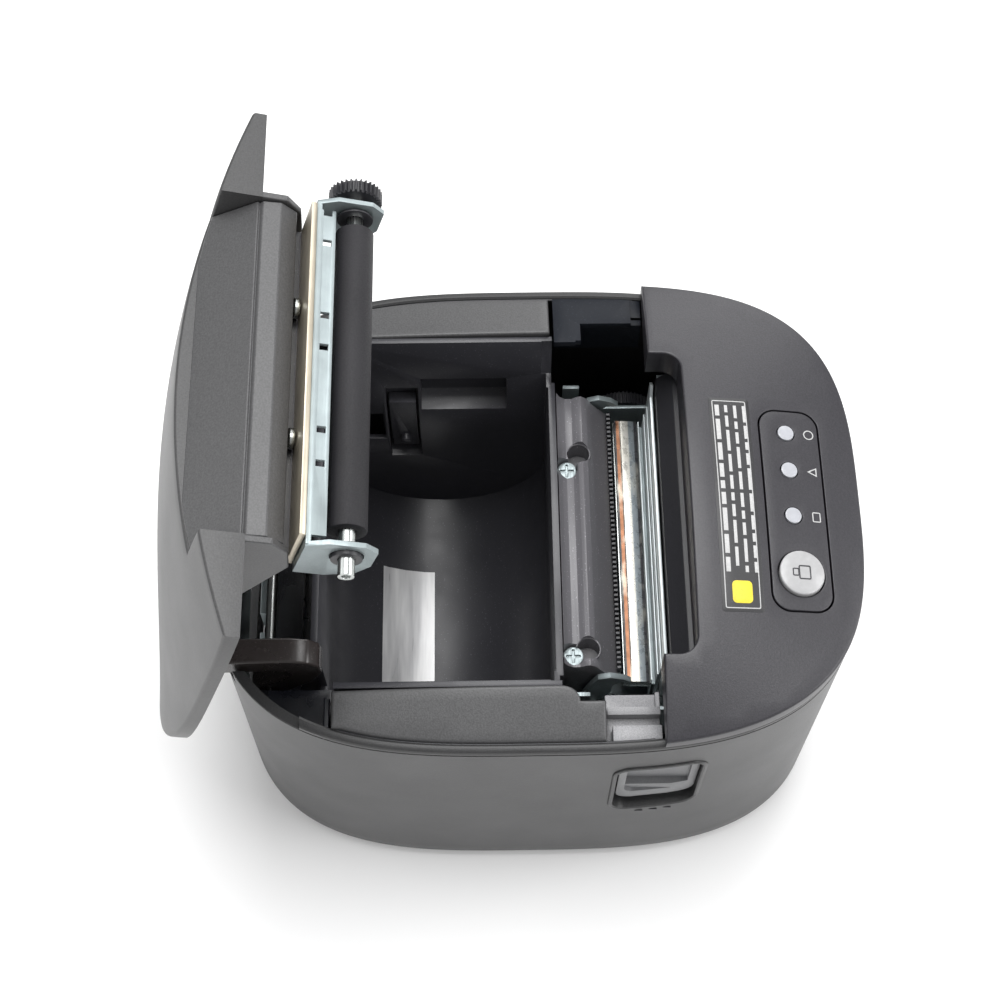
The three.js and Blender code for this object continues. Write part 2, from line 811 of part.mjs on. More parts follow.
// The lever pushes this arm down behind the shaft, which swings the hooks back.
const releaseArm = [
  [LATCH.y - 2.5, LATCH.z - 2.5],
  [LATCH.y + 2.5, LATCH.z - 2.5],
  [LATCH.y + 13.6, LATCH.z + 0.5],
  [LATCH.y + 13.6, LATCH.z + 3.8],
  [LATCH.y + 12.1, LATCH.z + 3.8],
  [LATCH.y + 2.5, LATCH.z + 1.5],
  [LATCH.y - 2.5, LATCH.z + 2.5],
];
const hookAt = (side) => {
  const x = [side * 43.2, side * 44.8].sort((a, b) => a - b);
  return prismX(hookProfile, x);
};
add(
  "latch",
  join(
    hookAt(-1),
    hookAt(1),
    rodX(2.1, [-52, 50.4], LATCH.y, LATCH.z, 24),
    prismX(releaseArm, [-52, -50.4]),
  ),
  "zinc",
);
const leverFace = prismX(roundedRectangle([-46.9, -24.4], [57, 85.7], 4), [-75, -64]);
const leverSkin = loft([
  { z: 50, points: outline(50, 0.9) },
  { z: 92, points: outline(92, 0.9) },
]);
const leverScoop = prismX(roundedRectangle([-44.6, -26.6], [62, 84], 3), [-76, -67.6]);
const leverFloor = prismX(
  [
    [-44.6, 62],
    [-26.6, 62],
    [-26.6, 66],
    [-44.6, 66],
  ],
  [-69.6, -67],
);
add(
  "open_lever",
  join(
    cut(leverFace.intersect(leverSkin), leverScoop),
    leverFloor.intersect(leverSkin),
    box([-64.6, -61.4], [-34, -3.8], [66, 70]),
    box([-64.6, -50.2], [-7.8, -3.8], [66, 70]),
  ),
  "liner",
);

// ---- Hinge rod, boards and sockets ----
const hingeEar = (side) => {
  const x = [side * 46.1, side * 48.3].sort((a, b) => a - b);
  const profile = [
    [67, 58],
    [76.8, 58],
    [76.6, 80],
    [75.6, 83],
    [71, 83],
    [69, 80],
  ];
  return prismX(profile, x);
};
add(
  "hinge_bracket",
  cut(
    join(hingeEar(-1), hingeEar(1), box([-48.3, 48.3], [67, 76.8], [56, 58.4])),
    rodX(1.8, [-60, 60], HINGE.y, HINGE.z, 20),
  ),
  "zinc",
);
add("hinge_rod", rodX(1.5, [-49.4, 49.4], HINGE.y, HINGE.z, 24), "steel");

add("main_board", box([-49, 49], [12, 76], [8.6, 10.2]), "board");
const socket = (x, width, height, depth, mouth) => {
  const y = [84.4 - depth, 84.8];
  const shell = box([x - width / 2, x + width / 2], y, [10.5, 10.5 + height]);
  return cut(shell, mouth(x));
};
const rectMouth = (width, z) => (x) =>
  box([x - width / 2, x + width / 2], [75, 90], z);
add(
  "dc_inlet",
  socket(-31, 12, 12, 12, (x) => rodY(4.4, [76, 90], x, 16.5, 20)),
  "black",
);
add("usb_port", socket(-12, 12.4, 12, 14, rectMouth(8.6, [12.6, 20.2])), "steel");
add("network_port", socket(8, 16.4, 14, 16, rectMouth(12, [12.8, 21.4])), "steel");
add("drawer_port", socket(29, 15.6, 14, 16, rectMouth(10.4, [12.8, 21])), "black");

// Rocker switch in the right side wall: a frame and the rocker inside it.
const SWITCH = { x: 70.6, y: [-42.4, -29.6], z: 24 };
add(
  "switch_frame",
  cut(
    box([60, 72.9], SWITCH.y, [SWITCH.z - 10, SWITCH.z + 10]),
    box([61.4, 80], [-41.2, -30.8], [SWITCH.z - 8.8, SWITCH.z + 8.8]),
  ),
  "black",
);
add(
  "power_switch",
  prismY(
    [
      [SWITCH.x - 5, SWITCH.z - 6.4],
      [SWITCH.x - 0.6, SWITCH.z - 8.2],
      [SWITCH.x + 1.2, SWITCH.z],
      [SWITCH.x + 3.4, SWITCH.z + 7.6],
      [SWITCH.x - 5, SWITCH.z + 6.4],
    ],
    [-40.8, -31.2],
  ),
  "liner",
);

// ---- Lid shell ----
const lidOutline = prismZ(outline(RIM, -0.1), [RIM + GAP, 140]);
const lidRear = box([-80, 80], [LID_FRONT, 100], [60, 140]);
const lidDome = underDome(0).intersect(lidOutline).intersect(lidRear);
const lidHollow = underDome(-2.8)
  .intersect(prismZ(outline(RIM, 2.4), [60, 140]))
  .intersect(box([-80, 80], [LID_FRONT + 2.6, 100], [60, 140]));
const exitCut = prismX(
  [
    [-60, 80],
    [-31.7, 80],
    [-31.7, 103.2],
    [-17.5, 121],
    [-17.5, 140],
    [-60, 140],
  ],
  [-45.5, 45.5],
);
const cheek = (side) => {
  const x = [side * 45.5, side * 47.3].sort((a, b) => a - b);
  const profile = [
    [LID_FRONT, 97],
    [-30, 92.8],
    [-22, 91],
    [-2, 99],
    [-2, 118],
    [LID_FRONT, 118],
  ];
  return prismX(profile, x).intersect(underDome(-1));
};
addToLid(
  "lid_shell",
  join(cut(lidDome, lidHollow, exitCut), cheek(-1), cheek(1)),
  "shell",
);

// ---- Lid liner with the hinge arms ----
const noseProfile = [
  [-33.2, 103.9],
  [-33.9, 98],
  [-32.4, 93.9],
  [-15, 93.9],
  [-10, 97],
  [-10, 118],
  [-20.9, 118],
];
const armProfile = [
  [56, 106],
  [52.6, 95],
  [46.9, 78],
  [46.6, 73],
  [48.6, 69.4],
  [53, 67.6],
  [60, 68.2],
  [70, 73.2],
  [74.6, 74.3],
  [77.4, 76.2],
  [78.4, 79.2],
  [77.2, 82.1],
  [74.2, 83.4],
  [69.6, 82.4],
  [61.6, 77.4],
  [57.2, 75.4],
  [54.8, 77],
  [55.2, 80.4],
  [60.4, 94],
  [64, 106],
];
const armX = (side) => [side * ARM_X - 3.6, side * ARM_X + 3.6];
const ceilingArea = [
  [-49.5, -30],
  [49.5, -30],
  [49.5, 68],
  [-49.5, 68],
];
const ceiling = domePlate(ceilingArea, -3.1, -5, [-52, 52], [-36, 72]);
const nose = prismX(noseProfile, [-45.2, 45.2]).intersect(
  underDome(-3.1, [-52, 52], [-40, 10]),
);
const noseHollow = box([-43, 43], [-29, -6], [96, 108]);
const arms = [-1, 1].map((side) =>
  prismX(armProfile, armX(side)).intersect(underDome(-3.1, [-52, 52], [30, 92])),
);
addToLid(
  "lid_liner",
  cut(
    join(cut(join(ceiling, nose), noseHollow), ...arms),
    rodX(1.56, [-60, 60], HINGE.y, HINGE.z, 24),
    cheek(-1),
    cheek(1),
    box([45.2, 47.6], [-36, -1.7], [90, 130]),
    box([-47.6, -45.2], [-36, -1.7], [90, 130]),
  ),
  "liner",
);

// ---- Platen bracket, fixed blade and their screws ----
const endPlate = [
  [-37.4, 76],
  [-34.8, 72.6],
  [-27, 72.6],
  [-22.4, 75.2],
  [-19.4, 82],
  [-19.4, 89.6],
  [-34.8, 89.6],
  [-37.4, 84.6],
];
const bracketEnd = (side) => {
  const x = [side * 45.9, side * 47.1].sort((a, b) => a - b);
  return prismX(endPlate, x);
};
const tabNotches = [39, 9.5, -21.5].flatMap((x) =>
  [x - 4.4, x + 4.4].map((at) => box([at - 0.9, at + 0.9], [-37, -32.4], [85.8, 88])),
);
addToLid(
  "platen_bracket",
  cut(
    join(
      box([-46.5, 46.5], [-35.2, -19.4], [88.4, 89.6]),
      box([-44.2, 44.2], [-35.2, -34], [84.9, 89]),
      bracketEnd(-1),
      bracketEnd(1),
    ),
    ...tabNotches,
    rodX(4.1, [-60, 60], PLATEN.y, PLATEN.z, 24),
  ),
  "zinc",
);
addToLid(
  "fixed_blade",
  prismX(
    [
      [-36.9, 90.6],
      [-36.5, 89.9],
      [-19.2, 89.9],
      [-19.2, 91.4],
      [-36.9, 91.4],
    ],
    [-45, 45],
  ),
  "cream",
);
[20, -16].forEach((x, index) => {
  addToLid(
    "bracket_screw_" + (index + 1),
    rodZ(2.6, [91.7, 93.4], x, -26.4, 20),
    "zinc",
  );
});
for (const [name, side] of [["left", -1], ["right", 1]]) {
  const x = [side * 45.2, side * 48].sort((a, b) => a - b);
  const flange = [side * 45, side * 45.6].sort((a, b) => a - b);
  addToLid(
    name + "_bearing",
    cut(
      join(
        rodX(3.8, x, PLATEN.y, PLATEN.z, 24),
        rodX(4.6, flange, PLATEN.y, PLATEN.z, 24),
      ),
      rodX(SHAFT_RADIUS + 0.06, [-60, 60], PLATEN.y, PLATEN.z, 32),
    ),
    "black",
  );
}

// ---- Platen: rubber sleeve, hollow steel shaft, gear ----
addToLid(
  "platen_shaft",
  cut(
    rodX(SHAFT_RADIUS, [-52.2, 53.8], PLATEN.y, PLATEN.z, 32),
    rodX(1, [-53, -44], PLATEN.y, PLATEN.z, 20),
  ),
  "steel",
);
const platenX = [-PLATEN.half, PLATEN.half];
addToLid(
  "platen_rubber",
  cut(
    rodX(PLATEN.radius, platenX, PLATEN.y, PLATEN.z, 48),
    rodX(SHAFT_RADIUS + 0.05, [-60, 60], PLATEN.y, PLATEN.z, 32),
  ),
  "rubber",
);
addToLid(
  "platen_gear",
  gearX(PLATEN_TEETH, [49.9, 53.2], PLATEN.y, PLATEN.z, 0, SHAFT_RADIUS + 0.05),
  "black",
);

export default printer;
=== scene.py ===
"""Receipt printer with its lid open: the looks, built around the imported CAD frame.

Lengths are in millimetres until a mesh is made. X runs along the platen, the front faces -Y.
Lid pieces are drawn in their closed place and turned open about the lid hinge.
"""

import json
import math

import bmesh
import bpy
import numpy as np
from mathutils import Matrix, Vector
from mathutils.geometry import delaunay_2d_cdt


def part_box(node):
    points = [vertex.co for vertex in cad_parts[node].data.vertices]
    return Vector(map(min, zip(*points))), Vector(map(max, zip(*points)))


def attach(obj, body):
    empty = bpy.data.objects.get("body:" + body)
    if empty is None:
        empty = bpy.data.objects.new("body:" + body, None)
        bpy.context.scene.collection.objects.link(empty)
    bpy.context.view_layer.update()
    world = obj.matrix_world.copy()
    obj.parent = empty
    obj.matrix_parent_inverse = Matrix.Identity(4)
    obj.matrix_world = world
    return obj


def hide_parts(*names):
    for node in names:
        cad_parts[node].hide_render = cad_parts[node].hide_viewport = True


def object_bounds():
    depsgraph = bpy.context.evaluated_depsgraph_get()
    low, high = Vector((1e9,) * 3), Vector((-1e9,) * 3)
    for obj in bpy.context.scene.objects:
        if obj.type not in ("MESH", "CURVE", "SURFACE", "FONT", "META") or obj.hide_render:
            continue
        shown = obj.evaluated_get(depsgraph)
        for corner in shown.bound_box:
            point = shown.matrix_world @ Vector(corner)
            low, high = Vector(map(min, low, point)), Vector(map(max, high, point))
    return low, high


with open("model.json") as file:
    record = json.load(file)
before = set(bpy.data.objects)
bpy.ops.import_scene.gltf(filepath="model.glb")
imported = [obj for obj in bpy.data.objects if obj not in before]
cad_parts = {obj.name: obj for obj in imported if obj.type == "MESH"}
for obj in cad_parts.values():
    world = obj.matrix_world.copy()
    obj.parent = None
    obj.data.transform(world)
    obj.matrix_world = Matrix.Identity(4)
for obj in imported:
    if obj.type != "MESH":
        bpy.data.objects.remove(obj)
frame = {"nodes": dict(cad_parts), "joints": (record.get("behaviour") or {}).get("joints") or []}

CAD_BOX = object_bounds()
MM = 0.001

# ---- Driving dimensions, the same as the frame's ----
# RIM is the seam's height. The case's half width and reaches are at the floor, and the tapers
# are what they lose up to the seam. CORNER is the outline's superellipse exponent.
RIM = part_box("lower_case")[1].z / MM
CASE_HALF = 73.2
CASE_FRONT = 94.1
CASE_REAR = 90.4
TAPER_X = 1.8
TAPER_Y = 1.6
CORNER = 3.2
# The dome's band and crown stand on the seam, and the dome falls off to each end from its crest.
BAND = 4.0
CROWN = 13.0
CREST_Y = -15.0
DOME_REAR = 104.0
DOME_FRONT = 82.0
DOME_HALF = 70.0
WALL = 2.6
GAP = 0.3
# Arc points stay this far from a loop's sharp corner, which is more than a wall's thickness.
CORNER_CLEAR = 3.2
FINE_COUNT = 360
LID_FRONT = -34.7
COVER_REAR = -35.2
EXIT_X = (-47.6, 43.0)
EXIT_FRONT = -44.3
ARM_X = 42.0
LEVER_WINDOW = ((-48, -23.2), (49.6, 86.6))
LEVER_WINDOW_RADIUS = 5
# The print head's face, from its rear edge to its front edge.
HEAD_Y = (-27.6, -34.7)
# Edges over SHARP stay sharp in the shading, and those over BEVEL_FROM are rounded.
SHARP = math.radians(35)
BEVEL_FROM = math.radians(30)

LID_HINGE = next(j for j in frame["joints"] if j["name"] == "lid_hinge")
HINGE = Vector(LID_HINGE["pos_m"])
OPEN_ANGLE = math.radians(LID_HINGE["range_deg"][1])
LID_OPEN = (
    Matrix.Translation(HINGE)
    @ Matrix.Rotation(-OPEN_ANGLE, 4, "X")
    @ Matrix.Translation(-HINGE)
)


# ---- Camera, light and floor ----
def make_camera():
    camera = bpy.data.objects.new("camera", bpy.data.cameras.new("camera"))
    bpy.context.scene.collection.objects.link(camera)
    tilt, turn = math.radians(25), math.radians(-90.8)
    camera.location = (-0.2053, 0.0105, 0.5487)
    camera.rotation_euler = (tilt, 0, turn)
    camera.data.sensor_width = 36
    camera.data.lens = 62.8
    camera.data.clip_start = 0.01
    bpy.context.scene.camera = camera


def area_light(name, place, target, size, power):
    light = bpy.data.lights.new(name, "AREA")
    light.shape = "RECTANGLE"
    light.size, light.size_y = size
    light.energy = power
    holder = bpy.data.objects.new(name, light)
    bpy.context.scene.collection.objects.link(holder)
    holder.location = place
    aim = Vector(target) - Vector(place)
    holder.rotation_euler = aim.to_track_quat("-Z", "Y").to_euler()


def make_light():
    scene = bpy.context.scene
    scene.view_settings.view_transform = "Standard"
    world = bpy.data.worlds.new("studio")
    world.use_nodes = True
    background = world.node_tree.nodes["Background"]
    background.inputs["Color"].default_value = (1, 1, 1, 1)
    background.inputs["Strength"].default_value = 0.5
    scene.world = world
    middle = (0, 0, 0.08)
    area_light("overhead_softbox", (0.3, 0.0, 1.3), middle, (0.9, 0.9), 15)
    area_light("rear_softbox", (-0.1, 0.95, 0.8), middle, (1.2, 0.7), 4)
    area_light("front_softbox", (-0.15, -1.0, 0.75), middle, (0.9, 0.6), 8)
    area_light("far_softbox", (0.95, -0.3, 0.6), middle, (0.6, 0.6), 3)


def make_floor():
    bpy.ops.mesh.primitive_plane_add(size=8, location=(0, 0, CAD_BOX[0][2]))
    floor = bpy.context.object
    floor.name = "floor"
    paint, _, _ = start("floor_paint", (0.93, 0.93, 0.93), 0.85)
    floor.data.materials.append(paint)


# ---- Material tools ----
def start(name, colour, roughness, metallic=0.0):
    material = bpy.data.materials.new(name)
    material.use_nodes = True
    tree = material.node_tree
    shader = tree.nodes["Principled BSDF"]
    shader.inputs["Base Color"].default_value = (*colour, 1)
    shader.inputs["Roughness"].default_value = roughness
    shader.inputs["Metallic"].default_value = metallic
    return material, tree, shader


def noise(tree, size, stretch=(1, 1, 1), detail=3.0, roughness=0.5):
    """A noise whose features are about size millimetres across, stretched along an axis."""
    place = tree.nodes.new("ShaderNodeTexCoord")
    mapping = tree.nodes.new("ShaderNodeMapping")
    mapping.inputs["Scale"].default_value = [1 / s for s in stretch]
    texture = tree.nodes.new("ShaderNodeTexNoise")
    texture.inputs["Scale"].default_value = 1 / (size * MM)
    texture.inputs["Detail"].default_value = detail
    texture.inputs["Roughness"].default_value = roughness
    tree.links.new(place.outputs["Object"], mapping.inputs["Vector"])
    tree.links.new(mapping.outputs["Vector"], texture.inputs["Vector"])
    return texture.outputs["Fac"]


def spread(tree, value, low, high, start_at=0.3, end_at=0.7):
    """Maps a noise to the range from low to high."""
    ramp = tree.nodes.new("ShaderNodeMapRange")
    ramp.inputs["From Min"].default_value = start_at
    ramp.inputs["From Max"].default_value = end_at
    ramp.inputs["To Min"].default_value = low
    ramp.inputs["To Max"].default_value = high
    tree.links.new(value, ramp.inputs["Value"])
    return ramp.outputs["Result"]


def mix_colours(tree, factor, first, second):
    mix = tree.nodes.new("ShaderNodeMix")
    mix.data_type = "RGBA"
    tree.links.new(factor, mix.inputs["Factor"])
    for socket, colour in ((mix.inputs["A"], first), (mix.inputs["B"], second)):
        if isinstance(colour, tuple):
            socket.default_value = (*colour, 1)
        else:
            tree.links.new(colour, socket)
    return mix.outputs["Result"]


def add_bump(tree, shader, height, distance):
    """Chains a bump of that many millimetres onto the shader."""
    bump = tree.nodes.new("ShaderNodeBump")
    bump.inputs["Strength"].default_value = 1.0
    bump.inputs["Distance"].default_value = distance * MM
    tree.links.new(height, bump.inputs["Height"])
    earlier = shader.inputs["Normal"].links
    if earlier:
        tree.links.new(earlier[0].from_socket, bump.inputs["Normal"])
    tree.links.new(bump.outputs["Normal"], shader.inputs["Normal"])


def moulded(name, colour, roughness, grain=0.45, depth=0.035, speckle=0.22):
    """Moulded plastic with a fine spark-eroded grain."""
    material, tree, shader = start(name, colour, roughness)
    fine = noise(tree, grain, detail=2.0)
    light = tuple(c * (1 + speckle) for c in colour)
    dark = tuple(c * (1 - speckle) for c in colour)
    fleck = spread(tree, fine, 0, 1)
    tone = mix_colours(tree, fleck, dark, light)
    cloud = spread(tree, noise(tree, 60, detail=1.0), 0, 0.08)
    tone = mix_colours(tree, cloud, tone, tuple(c * 1.25 for c in colour))
    tree.links.new(tone, shader.inputs["Base Color"])
    worn = spread(tree, noise(tree, 22), roughness - 0.02, roughness + 0.03)
    tree.links.new(worn, shader.inputs["Roughness"])
    add_bump(tree, shader, fine, depth)
    return material


def glossy(name, colour, roughness, shine=0.5):
    """Polished plastic with smears, dust and fine rub marks."""
    material, tree, shader = start(name, colour, roughness)
    shader.inputs["Specular IOR Level"].default_value = shine
    smears = noise(tree, 30, stretch=(1, 1, 2.5), detail=5.0, roughness=0.6)
    rub = noise(tree, 1.3, stretch=(1, 1, 30), detail=2.0)
    haze = spread(tree, smears, roughness, roughness + 0.16, 0.4, 0.65)
    tree.links.new(haze, shader.inputs["Roughness"])
    dust = spread(tree, noise(tree, 0.5, detail=1.0), 0, 1, 0.68, 0.74)
    tone = mix_colours(tree, dust, colour, tuple(c * 2.2 + 0.012 for c in colour))
    tree.links.new(tone, shader.inputs["Base Color"])
    add_bump(tree, shader, rub, 0.006)
    add_bump(tree, shader, noise(tree, 14, detail=1.0), 0.05)
    return material


def sheet_metal(name, colour, roughness, mottle=0.0, metallic=1.0):
    """Rolled or ground metal: streaks along X, with a mottled plating if asked."""
    material, tree, shader = start(name, colour, roughness, metallic)
    streak = 0.12
    lines = noise(tree, 0.35, stretch=(40, 1, 1), detail=3.0)
    sheen = spread(tree, lines, roughness - streak / 2, roughness + streak)
    tree.links.new(sheen, shader.inputs["Roughness"])
    patches = spread(tree, noise(tree, 6, detail=4.0), 0, 1)
    dull = tuple(c * (1 - 0.12 - mottle) for c in colour)
    tone = mix_colours(tree, patches, dull, colour)
    tree.links.new(tone, shader.inputs["Base Color"])
    add_bump(tree, shader, lines, 0.006)
    return material


def rubber(name, colour):
    material, tree, shader = start(name, colour, 0.62)
    shader.inputs["Specular IOR Level"].default_value = 0.35
    fine = noise(tree, 0.4, detail=3.0)
    tone = mix_colours(
        tree,
        spread(tree, noise(tree, 9, stretch=(3, 1, 1)), 0, 1),
        colour,
        tuple(c * 1.5 for c in colour),
    )
    tree.links.new(tone, shader.inputs["Base Color"])
    tree.links.new(spread(tree, fine, 0.56, 0.72), shader.inputs["Roughness"])
    add_bump(tree, shader, fine, 0.02)
    return material


def lens(name, colour):
    """Milky plastic that light shines through."""
    material, tree, shader = start(name, colour, 0.28)
    shader.inputs["Subsurface Weight"].default_value = 0.3
    shader.inputs["Subsurface Radius"].default_value = (0.001, 0.001, 0.001)
    shader.inputs["Coat Weight"].default_value = 0.3
    cloud = spread(tree, noise(tree, 1.6), 0, 1)
    tone = mix_colours(tree, cloud, colour, tuple(c * 0.9 for c in colour))
    tree.links.new(tone, shader.inputs["Base Color"])
    add_bump(tree, shader, noise(tree, 0.6), 0.008)
    return material


def print_ink(name, colour):
    """Screen print: slightly uneven in tone."""
    material, tree, shader = start(name, colour, 0.5)
    worn = spread(tree, noise(tree, 0.5, detail=3.0), 0, 1)
    tone = mix_colours(tree, worn, tuple(c * 0.82 for c in colour), colour)
    tree.links.new(tone, shader.inputs["Base Color"])
    add_bump(tree, shader, noise(tree, 0.3), 0.004)
    return material


def circuit(name):
    material, tree, shader = start(name, (0.015, 0.09, 0.045), 0.35)
    tracks = noise(tree, 2.2, stretch=(6, 1, 1), detail=1.0)
    tone = mix_colours(
        tree, spread(tree, tracks, 0, 1, 0.5, 0.54), (0.012, 0.08, 0.04), (0.03, 0.16, 0.08)
    )
    tree.links.new(tone, shader.inputs["Base Color"])
    add_bump(tree, shader, tracks, 0.03)
    return material


def head_face(name, stops):
    """The print head's long bands: tin, copper, glaze and solder, across the Y axis."""
    material, tree, shader = start(name, (0.6, 0.6, 0.6), 0.25, 0.6)
    place = tree.nodes.new("ShaderNodeTexCoord")
    split = tree.nodes.new("ShaderNodeSeparateXYZ")
    tree.links.new(place.outputs["Object"], split.inputs["Vector"])
    span = spread(tree, split.outputs["Y"], 0, 1, HEAD_Y[0] * MM, HEAD_Y[1] * MM)
    ramp = tree.nodes.new("ShaderNodeValToRGB")
    ramp.color_ramp.interpolation = "CONSTANT"
    marks = ramp.color_ramp.elements
    while len(marks) < len(stops):
        marks.new(0.5)
    for mark, (at, colour) in zip(marks, stops):
        mark.position = at
        mark.color = (*colour, 1)
    tree.links.new(span, ramp.inputs["Fac"])
    flecks = spread(tree, noise(tree, 3.5, stretch=(2.5, 1, 1), detail=3.0), 0, 0.35, 0.52, 0.66)
    tone = mix_colours(tree, flecks, ramp.outputs["Color"], (0.6, 0.58, 0.5))
    tree.links.new(tone, shader.inputs["Base Color"])
    haze = spread(tree, noise(tree, 2), 0.2, 0.4)
    tree.links.new(haze, shader.inputs["Roughness"])
    add_bump(tree, shader, noise(tree, 0.8, stretch=(8, 1, 1)), 0.02)
    return material


def bare_plate(name):
    """Bright film-covered plate with soft vertical streaks."""
    material, tree, shader = start(name, (0.62, 0.62, 0.63), 0.34, 0.2)
    bands = noise(tree, 5, stretch=(9, 1, 9), detail=3.0, roughness=0.6)
    tone = mix_colours(
        tree, spread(tree, bands, 0, 1, 0.35, 0.65), (0.55, 0.55, 0.56), (0.85, 0.85, 0.85)
    )
    tree.links.new(tone, shader.inputs["Base Color"])
    tree.links.new(spread(tree, bands, 0.25, 0.45), shader.inputs["Roughness"])
    add_bump(tree, shader, bands, 0.08)
    return material


# ---- Mesh tools ----
def link_mesh(name, points, faces, material, body, turn=None):
    """Makes a piece from points in millimetres and lets it ride on a body."""
    mesh = bpy.data.meshes.new(name)
    mesh.from_pydata([Vector(p) * MM for p in points], [], faces)
    work = bmesh.new()
    work.from_mesh(mesh)
    bmesh.ops.recalc_face_normals(work, faces=work.faces)
    work.to_mesh(mesh)
    work.free()
    if turn:
        mesh.transform(turn)
    for face in mesh.polygons:
        face.use_smooth = True
    mesh.set_sharp_from_angle(angle=SHARP)
    piece = bpy.data.objects.new(name, mesh)
    bpy.context.scene.collection.objects.link(piece)
    mesh.materials.append(material)
    if body:
        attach(piece, body)
    return piece


def smooth_group():
    """A node group that smooths faces and keeps edges over the SHARP angle sharp."""
    group = bpy.data.node_groups.new("smooth_by_angle", "GeometryNodeTree")
    for way in ("INPUT", "OUTPUT"):
        group.interface.new_socket(
            name="Geometry", in_out=way, socket_type="NodeSocketGeometry"
        )
    nodes = group.nodes
    entry = nodes.new("NodeGroupInput")
    leave = nodes.new("NodeGroupOutput")
    faces = nodes.new("GeometryNodeSetShadeSmooth")
    edges = nodes.new("GeometryNodeSetShadeSmooth")
    edges.domain = "EDGE"
    edges.inputs["Shade Smooth"].default_value = False
    angle = nodes.new("GeometryNodeInputMeshEdgeAngle")
    compare = nodes.new("FunctionNodeCompare")
    compare.inputs["B"].default_value = SHARP
    link = group.links.new
    link(entry.outputs[0], faces.inputs["Geometry"])
    link(faces.outputs["Geometry"], edges.inputs["Geometry"])
    link(angle.outputs["Unsigned Angle"], compare.inputs["A"])
    link(compare.outputs["Result"], edges.inputs["Selection"])
    link(edges.outputs["Geometry"], leave.inputs[0])
    return group


def round_edges(piece, width, segments=2):
    bevel = piece.modifiers.new("rounded edges", "BEVEL")
    bevel.width = width * MM
    bevel.segments = segments
    bevel.limit_method = "ANGLE"
    bevel.angle_limit = BEVEL_FROM
    bevel.miter_outer = "MITER_ARC"


def smooth_last(piece):
    modifier = piece.modifiers.new("smooth by angle", "NODES")
    modifier.node_group = SMOOTH


def dress(name, material, edge=0.25, segments=2):
    """Gives a CAD node its material, soft edges and smooth shading."""
    piece = frame["nodes"][name]
    piece.data.materials.clear()
    piece.data.materials.append(material)
    if "custom_normal" in piece.data.attributes:
        piece.data.attributes.remove(piece.data.attributes["custom_normal"])
    weld = piece.modifiers.new("weld", "WELD")
    weld.merge_threshold = 1e-6
    if edge:
        round_edges(piece, edge, segments)
    smooth_last(piece)


def superellipse(half, front, rear, count):
    """A counter-clockwise loop with its own reach to the front and to the rear."""
    points = []
    for i in range(count):
        angle = 2 * math.pi * (i + 0.5) / count
        c, s = math.cos(angle), math.sin(angle)
        x = half * math.copysign(abs(c) ** (2 / CORNER), c)
        reach = rear if s > 0 else front
        points.append((x, reach * math.copysign(abs(s) ** (2 / CORNER), s)))
    return points


def outline(height, gap=0.0, count=240):
    """The case's outline at that height, set in by gap. It narrows slightly up to the seam."""
    rise = min(height, RIM) / RIM
    return superellipse(
        CASE_HALF - TAPER_X * rise - gap,
        CASE_FRONT - TAPER_Y * rise - gap,
        CASE_REAR - TAPER_Y * rise - gap,
        count,
    )


def dome(x, y, offset=0.0):
    """Height of the printer's crowned top, moved up by offset."""
    run = DOME_REAR if y > CREST_Y else DOME_FRONT
    along = 1 - ((y - CREST_Y) / run) ** 2
    across = 1 - (x / DOME_HALF) ** 2
    return RIM + BAND + CROWN * across * along + offset


def rounded_rectangle(a, b, radius, steps=6):
    points = []
    corners = (
        (a[1] - radius, b[1] - radius, 0),
        (a[0] + radius, b[1] - radius, 90),
        (a[0] + radius, b[0] + radius, 180),
        (a[1] - radius, b[0] + radius, 270),
    )
    for ca, cb, first in corners:
        for i in range(steps + 1):
            angle = math.radians(first + 90 * i / steps)
            points.append((ca + radius * math.cos(angle), cb + radius * math.sin(angle)))
    return points


def circle(x, y, radius, count=40):
    angles = [2 * math.pi * i / count for i in range(count)]
    return [(x + radius * math.cos(a), y + radius * math.sin(a)) for a in angles]


def side_parts(loop, step=2.0):
    """How many pieces each side needs so that none is longer than step."""
    ends = zip(loop, loop[1:] + loop[:1])
    return [max(1, math.ceil(math.dist(p, q) / step)) for p, q in ends]


def divide(loop, parts):
    points = []
    for (x0, y0), (x1, y1), count in zip(loop, loop[1:] + loop[:1], parts):
        for k in range(count):
            points.append((x0 + (x1 - x0) * k / count, y0 + (y1 - y0) * k / count))
    return points


def dense(loop, step=2.0):
    return divide(loop, side_parts(loop, step))


def inset(loop, distance):
    """Moves each side of a counter-clockwise loop inwards."""
    points = []
    count = len(loop)
    for i in range(count):
        before, here, after = (Vector(loop[(i + k) % count]) for k in (-1, 0, 1))
        first = (here - before).normalized()
        second = (after - here).normalized()
        n1 = Vector((-first.y, first.x))
        n2 = Vector((-second.y, second.x))
        reach = max(0.3, 1 + n1.dot(n2))
        moved = here + (n1 + n2) / reach * distance
        points.append((moved.x, moved.y))
    return points


def inside(points, loop):
    """Which of the points lie inside the loop, as an array of booleans."""
    hits = np.zeros(len(points), bool)
    px, py = points[:, 0], points[:, 1]
    for (x0, y0), (x1, y1) in zip(loop, loop[1:] + loop[:1]):
        if y0 == y1:
            continue
        crosses = (y0 > py) != (y1 > py)
        hits ^= crosses & (px < (x1 - x0) * (py - y0) / (y1 - y0) + x0)
    return hits


